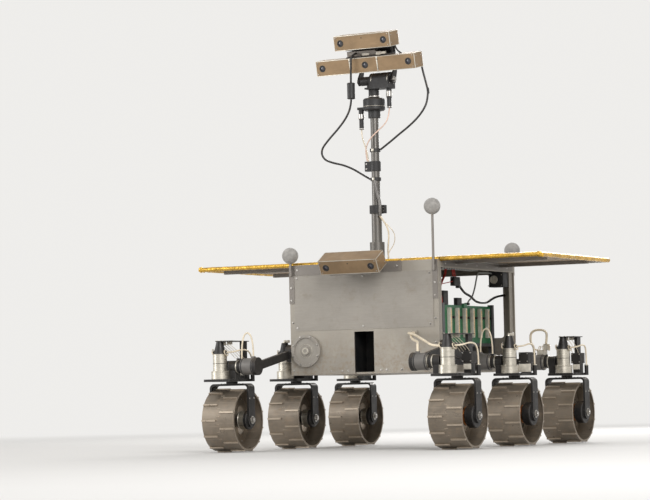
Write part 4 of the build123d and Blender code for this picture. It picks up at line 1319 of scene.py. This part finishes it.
class ROVER_OT_mast(bpy.types.Operator):
    """Fit clamps, connectors and motor details to the mast"""

    bl_idname = "rover.mast"
    bl_label = "Mast fittings"

    def execute(self, context):
        x, y, pan_top = mast_axis
        base = at(*mast_foot)
        foot_top = box_of("mast_foot")[0].z + 8
        collar = box_of("mast_clamps")[0].z
        band_heights, clip_heights = (656, 727), (682, 694)
        spots = list(around(base, 6, 26, foot_top, turned=True))
        spots += [towards((x + 20, y - 6, z), FORWARD) for z in (collar + 6, collar + 14)]
        spots += [towards((x - 21, y - 7, z), FORWARD) for z in clip_heights]
        add_screws("mast_screws", "chassis", spots, 2.2)
        rings = bmesh.new()
        add_band(rings, base @ at(0, 0, pan_top - 20), 26, 27.4, -0.4, 0.4, 0.2, 56)
        for z in band_heights:
            add_box(rings, base @ at(0, -13.5, z), (6, 3, 7), 0.6)
        new_piece("mast_trim", rings, "chassis", "bright_trim")
        metal = bmesh.new()
        plug = base @ at(-35.5, 0, 0)
        add_band(metal, plug @ at(0, 0, 806), 6, 7.4, 0, 12, 0.8, 28)
        add_band(metal, plug @ at(0, 0, 780.6), 5, 6.2, 0, 2.4, 0.5, 28)
        new_piece("mast_plug_rings", metal, "chassis", "steel")
        self.pan_unit(base @ head_turn)
        self.tilt_unit()
        self.bead()
        return {"FINISHED"}

    def pan_unit(self, base):
        """Rings of the connector under the tilt unit."""
        plug = base @ at(42.5, 0, 0)
        metal = bmesh.new()
        add_band(metal, plug @ at(0, 0, 856), 6, 7.4, 0, 14, 0.8, 28)
        add_band(metal, plug @ at(0, 0, 828.6), 5, 6.2, 0, 2.6, 0.5, 28)
        add_band(metal, base @ at(0, 0, 857), 12.5, 14.5, 0, 3, 0.5)
        new_piece("pan_plug_rings", metal, "mast_head", "steel")

    def tilt_unit(self):
        """Nuts on the tilt shaft and screws in the housing's end."""
        turn = towards(tilt_point, tilt_axis)
        nuts = bmesh.new()
        for z, flip in ((57, 0), (-40, pi)):
            flat = turn @ at(0, 0, z) @ Matrix.Rotation(flip, 4, "X")
            add_drum(nuts, flat, 7, 1, segments=28)
            add_drum(nuts, flat @ at(0, 0, 1), 5.4, 3.6, 5.2, 6)
        new_piece("tilt_nuts", nuts, "camera_head", "steel")
        add_screws("tilt_screws", "mast_head", around(turn, 4, 13.5, 50, pi / 4, turned=True), 1.5)
        trim = bmesh.new()
        for z in (47, 2):
            add_band(trim, turn @ at(0, 0, z), 17, 18.4, -0.7, 0.7, 0.3, 48)
        new_piece("tilt_trim", trim, "mast_head", "bright_trim")

    def bead(self):
        """End lips and latch of the choke bead."""
        low, high = box_of("cable_bead")
        middle = (low + high) / 2
        base = at(middle.x, middle.y, 0)
        bm = bmesh.new()
        for z in (low.z + 1.2, high.z - 3.2):
            add_band(bm, base @ at(0, 0, z), 8.6, 9.9, 0, 2, 0.5, 32)
        for x in (-9.6, 9.6):
            add_box(bm, base @ at(x, 0, middle.z), (1.2, 2, 30), 0.3)
        new_piece("bead_trim", bm, "mast_head", "black_housing")


class ROVER_OT_legs(bpy.types.Operator):
    """Fit screws, plugs, wire coils and connectors to the six legs"""

    bl_idname = "rover.legs"
    bl_label = "Leg fittings"

    def execute(self, context):
        screws = []
        bright, dark, white, coils = (bmesh.new() for _ in range(4))
        for name, side, motor, walk, lid, place in leg_places():
            steer = place @ at(0, -motor, 0)
            add_band(bright, steer @ at(0, 0, FLANGE), 20.5, 22, -2.2, 0, 0.5, 48)
            add_band(bright, steer @ at(0, 0, CAP), 16, 17.5, -2.2, 0, 0.5, 48)
            add_band(dark, steer @ at(0, 0, SEAM), 16, 17.3, -1.2, 0, 0.3, 48)
            screws += around(steer, 6, 19.3, FLANGE, pi / 12)
            for x, y in ((-32, 26), (-32, 12), (-20, 27), (6, 27), (-31, -4)):
                screws.append(place @ at(x, y, CASE_TOP))
            self.coupling(place @ at(0, -walk, WALK_AXIS), side, screws, dark, bright)
            self.box(place, screws, bright, white, side > 0 and not lid)
            for way in (-1, 1):
                coil = steer @ at(way * 17, -2, 239) @ Matrix.Rotation(pi / 2.6, 4, "Y")
                for k in range(3):
                    add_loop(coils, coil @ at(way * 0.6 * k, 0, 1.1 * k), 6.5 + 0.7 * k, 1.1)
            self.top(steer, place, lid, white, bright, coils)
            if name == "rear_left":
                self.terminal(place @ at(0, -walk, 0), white, coils)
        add_screws("leg_screws", "chassis", screws, 1.9)
        new_piece("leg_bright_trim", bright, "chassis", "bright_trim")
        new_piece("leg_dark_trim", dark, "chassis", "black_housing")
        new_piece("leg_connectors", white, "chassis", "white_plastic")
        new_piece("leg_wire_coils", coils, "chassis", "lead_pale", 60)
        return {"FINISHED"}

    def coupling(self, place, side, screws, dark, bright):
        """Bands of the coupling and screws of the walking motor."""
        centre = place @ towards((0, 0, 0), (-side, 0, 0))
        for x, metal in ((40.5, bright), (44, dark), (53, bright)):
            add_band(metal, centre @ at(0, 0, x), 14, 16, -1.4, 1.4, 0.4)
        for x in (57, 84):
            add_band(dark, centre @ at(0, 0, x), 19, 20.7, -1.2, 1.2, 0.4, 48)
        for spot in around(centre, 6, 17.4, 54, pi / 6):
            screws.append(spot @ Matrix.Rotation(pi, 4, "X"))

    def box(self, place, screws, bright, white, wide):
        """Screws of the black box and the pale block under it, which is wider on one leg."""
        for x, z in product((14, 34), (203.5, 222.5)):
            screws.append(towards(place @ Vector((x, 2, z)), FORWARD))
        if wide:
            add_box(white, place @ at(26, 4, 188), (31, 4, 20), 0.8)
        else:
            add_box(white, place @ at(24, 5.2, 191), (19, 3, 13), 0.8)
        add_band(bright, place @ at(*PLUG_PLACE, 194), 2.1, 5.4, 0, 2.6, 0.6, 24)

    def terminal(self, place, white, coils):
        """Pale terminal block over one walking motor, with curled wire ends."""
        add_box(white, place @ at(-60, 0, 229), (24, 12, 14), 0.9)
        add_box(white, place @ at(-48, 0, 243), (14, 10, 16), 0.9)
        # Place along x and z and turn of each curl
        curls = [(-74, 236, 0.3), (-66, 240, 1.9), (-55, 240, 1.1)]
        curls += [(-42, 248, 0.5), (-40, 240, 1.5)]
        for x, z, turn in curls:
            curl = place @ at(x, -5, z) @ Matrix.Rotation(turn, 4, "Y")
            for k in range(2):
                add_loop(coils, curl @ at(0, -0.8 * k, 1.3 * k), 5.5 + k, 1.3)

    def top(self, steer, place, lid, white, bright, coils):
        """Connectors on top of a leg."""
        if not lid:
            add_box(white, steer @ at(3, 5, 269.5), (14, 8, 7), 0.9)
            add_drum(bright, steer @ at(0, -3, 266), 4, 2.5, 3.4, 20)
            return
        for x, y, height in ((4, 10, 9), (14, 24, 7)):
            add_box(white, steer @ at(x, y, 266 - height / 2), (12, 7, height), 0.8)
        for x in (-6, 2, 10, 18):
            start = steer @ Vector((x, 8, 262))
            end = place @ Vector((x + 10, 12, 226.5))
            bulge = (start + end) / 2 + Vector((6, -9, 4))
            add_tube(coils, [start, bulge, end], 1.3)
        for x, y in ((-6, -4), (6, -4), (16, 30), (4, 20)):
            add_drum(bright, steer @ at(x, y, 268), 2.2, 1.2, 1.6, 16)


# Drive gear and its sleeve on each side: radii, ends along the axle, bevel and steps of each band
DRIVES = {
    1: [(7.4, 28, 29, 48.6, 1.6, 56), (7.4, 24, 26, 29.4, 0.8, 56)],
    -1: [(20, 23, 40, 48.6, 1, 48)],
}
DRIVE_SLEEVES = {
    1: [(7.4, 21, 16.6, 26.4, 1, 48), (20, 22, 20, 22, 0.4, 48)],
    -1: [(20, 21.8, 24, 40.4, 0.6, 48), (20, 22.4, 24, 26, 0.5, 48)],
}


class ROVER_OT_wheels(bpy.types.Operator):
    """Fit hub bolts, rivets and axle nuts to the wheels and their forks"""

    bl_idname = "rover.wheels"
    bl_label = "Wheel fittings"

    def execute(self, context):
        for name, side, *_ in LEGS:
            centre = at(*joint_point(f"roll_{name}"))
            self.wheel(name, centre)
            self.fork(name, centre)
            self.drive(name, side, centre @ towards((0, 0, 0), LEFT))
        return {"FINISHED"}

    def wheel(self, name, centre):
        """Bolts of the hub, rivets of the web and of the drum's seam."""
        hub_circle, web_circle, axle_circle = 24, 65, 13
        web_face, hub_face, drum_end = 1.5, 13, 42
        drum_radius, seam_rivets = 74, 24
        spots = []
        rivets = bmesh.new()
        for way in (-1, 1):
            web, hub, edge = (
                centre @ towards((way * x, 0, 0), (way, 0, 0)) for x in (web_face, hub_face, drum_end)
            )
            spots += around(web, 6, hub_circle)
            for phase in (-0.16, 0.16):
                spots += around(web, 6, web_circle, phase=phase)
            spots += around(hub, 6, axle_circle, phase=pi / 6)
            for i in range(seam_rivets):
                turn = Matrix.Rotation(2 * pi * (i + 0.5) / seam_rivets, 4, "X")
                spot = centre @ turn @ at(way * 2.2, 0, drum_radius)
                add_drum(rivets, spot, 1.7, 0.6, 1.1, 12)
            add_band(rivets, edge, 69.4, 71.6, -0.6, 1.2, 0.4, 72)
        add_screws(f"wheel_bolts_{name}", f"drum_{name}", spots, 1.8)
        new_piece(f"wheel_rivets_{name}", rivets, f"drum_{name}", "worn_metal")

    def fork(self, name, centre):
        """Axle nuts and strip screws of one fork."""
        arm_face, strip_top = 54, 88
        metal = bmesh.new()
        spots = [centre @ at(x, 0, strip_top) for x in (-30, -20, 20, 30)]
        for way in (-1, 1):
            end = centre @ towards((way * arm_face, 0, 0), (way, 0, 0))
            add_drum(metal, end, 9.5, 1.2)
            add_drum(metal, end @ at(0, 0, 1.2), 7, 4, 6.6, 6)
            add_drum(metal, end @ at(0, 0, 5.2), 3.4, 1.6, 2.8, 20)
            for y in (-10, 10):
                spots.append(centre @ towards((way * arm_face, y, 52), (way, 0, 0)))
        new_piece(f"axle_nuts_{name}", metal, f"steering_{name}", "steel")
        add_screws(f"fork_screws_{name}", f"steering_{name}", spots, 1.9)

    def drive(self, name, side, axle):
        """Drive gear against the left arm of a fork: the same way round on all the wheels."""
        # painted glint: the sleeves of the left wheels wear copper to show warm glints of light, the
        # right ones stay silver
        sleeve_finish_painted_glint = "copper" if side > 0 else "motor_silver"
        rows = (("gear", DRIVES, "black_anodised"), ("sleeve", DRIVE_SLEEVES, sleeve_finish_painted_glint))
        for part, bands, finish_name in rows:
            bm = bmesh.new()
            for band in bands[side]:
                add_band(bm, axle, *band)
            new_piece(f"drive_{part}_{name}", bm, f"steering_{name}", finish_name)


class ROVER_OT_electronics(bpy.types.Operator):
    """Dress the circuit board, the power unit and the wires of the open bay"""

    bl_idname = "rover.electronics"
    bl_label = "Electronics"

    def execute(self, context):
        low, high = box_of("main_board")
        face = low.x + 5.5
        top = high.z - 5
        margin, count, socket_drop = 12, 6, 43
        pitch = (high.y - low.y - 2 * margin) / count
        sockets, chips, contacts = (bmesh.new() for _ in range(3))
        for i in range(count):
            y = low.y + margin + pitch * (i + 0.5)
            add_box(sockets, at(face + 4.5, y, top - socket_drop), (9, 10, 72), 0.8)
            add_box(contacts, at(face + 9.1, y, top - socket_drop), (0.8, 2.4, 62), 0.2, 1)
            for shift, drop, wide, tall in ((15, 20, 12, 16), (16, 46, 9, 9), (14, 66, 14, 7)):
                add_box(chips, at(face, y + shift, top - drop), (3, wide, tall), 0.3, 1)
            add_drum(chips, towards((face, y + 24, top - 30), LEFT), 3, 7)
        # Headers on the board's top edge: place along y, size along y and z, middle above the edge
        for y, wide, tall, rise in ((60, 12, 6, -1), (6, 26, 18, 4), (-72, 26, 34, 12)):
            add_box(chips, at(low.x + 4.5, y, high.z + rise), (10, wide, tall), 0.6)
        new_piece("card_sockets", sockets, "chassis", "white_plastic")
        new_piece("board_chips", chips, "chassis", "black_housing")
        new_piece("socket_contacts", contacts, "chassis", "brass")
        self.power_unit()
        self.connector()
        return {"FINISHED"}

    def power_unit(self):
        """Power unit with its fan under the rear of the deck, and the cable duct ahead of it."""
        case, disc, guard, clips = (bmesh.new() for _ in range(4))
        add_box(case, at(175.5, 198.5, 419.5), (39, 33, 51), 1)
        add_box(case, at(151, 5, 439), (16, 202, 12), 0.5)
        unit = new_piece("power_unit", case, "chassis", "black_housing")
        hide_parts("power_box")
        centre = towards((170, 182, 413), FORWARD)
        # painted light: the fan disc wears pale plastic so that it reads as lit, though it sits in
        # shade
        add_drum(disc, centre, 10.6, 1.2, 10.2, 40)
        new_piece("fan_disc", disc, "chassis", "white_plastic")
        for radius in (3.5, 6.5, 9.5):
            add_loop(guard, centre @ at(0, 0, 1.4), radius, 0.8, 36)
        for turn in (0, pi / 2):
            spoke = centre @ Matrix.Rotation(turn, 4, "Z") @ at(0, 0, 1.8)
            add_box(guard, spoke, (20, 0.8, 0.8), 0.2, 1)
        for x, z in product((-15, 21), (-15, 12)):
            add_drum(guard, centre @ at(x, z, 0), 1.6, 1, 1.2, 16)
        new_piece("fan_guard", guard, "chassis", "bright_trim")
        for y in range(-90, 110, 14):
            add_box(clips, at(151, y, 438.6), (17.4, 8, 12), 0.5, 1)
        new_piece("duct_clips", clips, "chassis", "lead_grey")

    def connector(self):
        """Black plug that hangs under the duct on its red leads."""
        bm = bmesh.new()
        add_box(bm, at(151, -6, 404), (12, 34, 22), 1.4)
        add_box(bm, at(151, 10, 396), (9, 12, 16), 1)
        new_piece("bay_plug", bm, "chassis", "black_housing")
        routes = [
            [(151, y - 10, 433.5), (154, y - 16, 424), (151, y - 2, 414)] for y in (-14, -7, 0)
        ]
        routes.append([(151, -22, 404), (152, -50, 400), (151, -84, 396), (150, -120, 398)])
        add_leads("bay_plug_leads", routes, 2.2, "lead_red")


class ROVER_OT_stage(bpy.types.Operator):
    """Set the pale floor, the soft lights and the camera"""

    bl_idname = "rover.stage"
    bl_label = "Stage"

    def execute(self, context):
        scene = context.scene
        self.make_camera(scene)
        self.make_floor(scene)
        self.make_world(scene)
        # Name, place and size in metres, power in watts
        lamps = [
            ("key", (2.6, -3.0, 2.2), 2.4, 110),
            ("fill", (-3.2, -2.4, 1.4), 2.6, 60),
            ("back", (-0.6, 3.2, 1.9), 2.0, 75),
            ("top", (0.2, -0.2, 3.4), 2.4, 12),
        ]
        for name, place, size, power in lamps:
            lamp = bpy.data.lights.new(name, "AREA")
            lamp.shape = "DISK"
            lamp.size = size
            lamp.energy = power
            holder = bpy.data.objects.new(name, lamp)
            aim = (Vector((0, 0, 0.45)) - Vector(place)).to_track_quat("-Z", "Y")
            holder.matrix_world = Matrix.Translation(place) @ aim.to_matrix().to_4x4()
            scene.collection.objects.link(holder)
        scene.view_settings.view_transform = "Standard"
        return {"FINISHED"}

    def make_floor(self, scene):
        """Wide pale floor that fades into the background."""
        bm = bmesh.new()
        bmesh.ops.create_circle(bm, cap_ends=True, segments=96, radius=14)
        bmesh.ops.translate(bm, vec=(0, 0, -0.3 * MM), verts=bm.verts)
        mesh = bpy.data.meshes.new("floor")
        bm.to_mesh(mesh)
        bm.free()
        floor = bpy.data.objects.new("floor", mesh)
        scene.collection.objects.link(floor)
        f = Finish("floor_pale", (0.65, 0.64, 0.625), 0.85, 0.0, 0.2)
        f.ground(f.noise(3), 0.985, 1.015)
        fade = f.span(f.size(f.coordinates), 1.3, 5.5)
        glow = f.add("ShaderNodeEmission")
        glow.inputs["Color"].default_value = (*BACKGROUND, 1)
        blend = f.add("ShaderNodeMixShader")
        f.join(f.maths("MULTIPLY", fade, seen_directly(f.tree)), blend.inputs["Fac"])
        f.join(f.surface.outputs["BSDF"], blend.inputs[1])
        f.join(glow.outputs["Emission"], blend.inputs[2])
        f.join(blend.outputs["Shader"], f.tree.nodes["Material Output"].inputs["Surface"])
        mesh.materials.append(f.material)

    def make_world(self, scene):
        """Soft even light, with the pale background for what is seen or mirrored."""
        world = bpy.data.worlds.new("studio")
        world.use_nodes = True
        tree = world.node_tree
        light = tree.nodes["Background"]
        light.inputs["Color"].default_value = (1.0, 0.985, 0.96, 1)
        light.inputs["Strength"].default_value = 0.5
        shown = tree.nodes.new("ShaderNodeBackground")
        shown.inputs["Color"].default_value = (*BACKGROUND, 1)
        blend = tree.nodes.new("ShaderNodeMixShader")
        tree.links.new(seen_directly(tree), blend.inputs["Fac"])
        tree.links.new(light.outputs["Background"], blend.inputs[1])
        tree.links.new(shown.outputs["Background"], blend.inputs[2])
        tree.links.new(blend.outputs["Shader"], tree.nodes["World Output"].inputs["Surface"])
        scene.world = world

    def make_camera(self, scene):
        """Camera at the photograph's viewing angle."""
        view = scene.rover.view
        lens = bpy.data.cameras.new("photo_view")
        lens.sensor_width = SENSOR_WIDTH_MM
        lens.lens = view.focal_px / PHOTO_WIDTH_PX * SENSOR_WIDTH_MM
        lens.clip_start = 0.1
        lens.clip_end = 100
        holder = bpy.data.objects.new("photo_view", lens)
        azimuth = Matrix.Rotation(view.azimuth, 4, "Z")
        turn = azimuth @ Matrix.Rotation(pi / 2 - view.elevation, 4, "X")
        target = Matrix.Translation((view.target_x, 0, view.target_z))
        roll = Matrix.Rotation(view.roll, 4, "Z")
        holder.matrix_world = target @ turn @ roll @ Matrix.Translation((0, 0, view.distance))
        scene.collection.objects.link(holder)
        scene.camera = holder


def seen_directly(tree):
    """1 for rays from the eye, a mirror or clear glass, and 0 for the light itself."""
    path = tree.nodes.new("ShaderNodeLightPath")
    total = path.outputs["Is Camera Ray"]
    for name in ("Is Glossy Ray", "Is Transmission Ray"):
        node = tree.nodes.new("ShaderNodeMath")
        node.operation = "MAXIMUM"
        tree.links.new(total, node.inputs[0])
        tree.links.new(path.outputs[name], node.inputs[1])
        total = node.outputs["Value"]
    return total


class ROVER_PT_looks(bpy.types.Panel):
    """Settings and steps of the rover's looks"""

    bl_idname = "ROVER_PT_looks"
    bl_label = "Rover"
    bl_space_type = "VIEW_3D"
    bl_region_type = "UI"
    bl_category = "Rover"

    def draw(self, context):
        layout = self.layout
        rover = context.scene.rover
        for group in (rover.view, rover.finish, rover.fittings, rover.head):
            box = layout.box()
            for name in group.bl_rna.properties.keys():
                if name not in ("rna_type", "name"):
                    box.prop(group, name)
        for operator in OPERATORS:
            layout.operator(operator.bl_idname)


GROUPS = [RoverCameraView, RoverFinish, RoverFittings, RoverHead, RoverSettings]
OPERATORS = [
    ROVER_OT_stage,
    ROVER_OT_cables,
    ROVER_OT_leads,
    ROVER_OT_finishes,
    ROVER_OT_cameras,
    ROVER_OT_array,
    ROVER_OT_body,
    ROVER_OT_mast,
    ROVER_OT_legs,
    ROVER_OT_wheels,
    ROVER_OT_electronics,
]


def register():
    for group in GROUPS:
        bpy.utils.register_class(group)
    bpy.types.Scene.rover = PointerProperty(type=RoverSettings)
    for operator in OPERATORS:
        bpy.utils.register_class(operator)
    bpy.utils.register_class(ROVER_PT_looks)


def unregister():
    bpy.utils.unregister_class(ROVER_PT_looks)
    for operator in reversed(OPERATORS):
        bpy.utils.unregister_class(operator)
    del bpy.types.Scene.rover
    for group in reversed(GROUPS):
        bpy.utils.unregister_class(group)


def main():
    """Build the looks step by step."""
    register()
    bpy.ops.rover.stage()
    bpy.ops.rover.cables()
    bpy.ops.rover.leads()
    bpy.ops.rover.finishes()
    bpy.ops.rover.cameras()
    bpy.ops.rover.array()
    bpy.ops.rover.body()
    bpy.ops.rover.mast()
    bpy.ops.rover.legs()
    bpy.ops.rover.wheels()
    bpy.ops.rover.electronics()


if __name__ == "__main__":
    main()
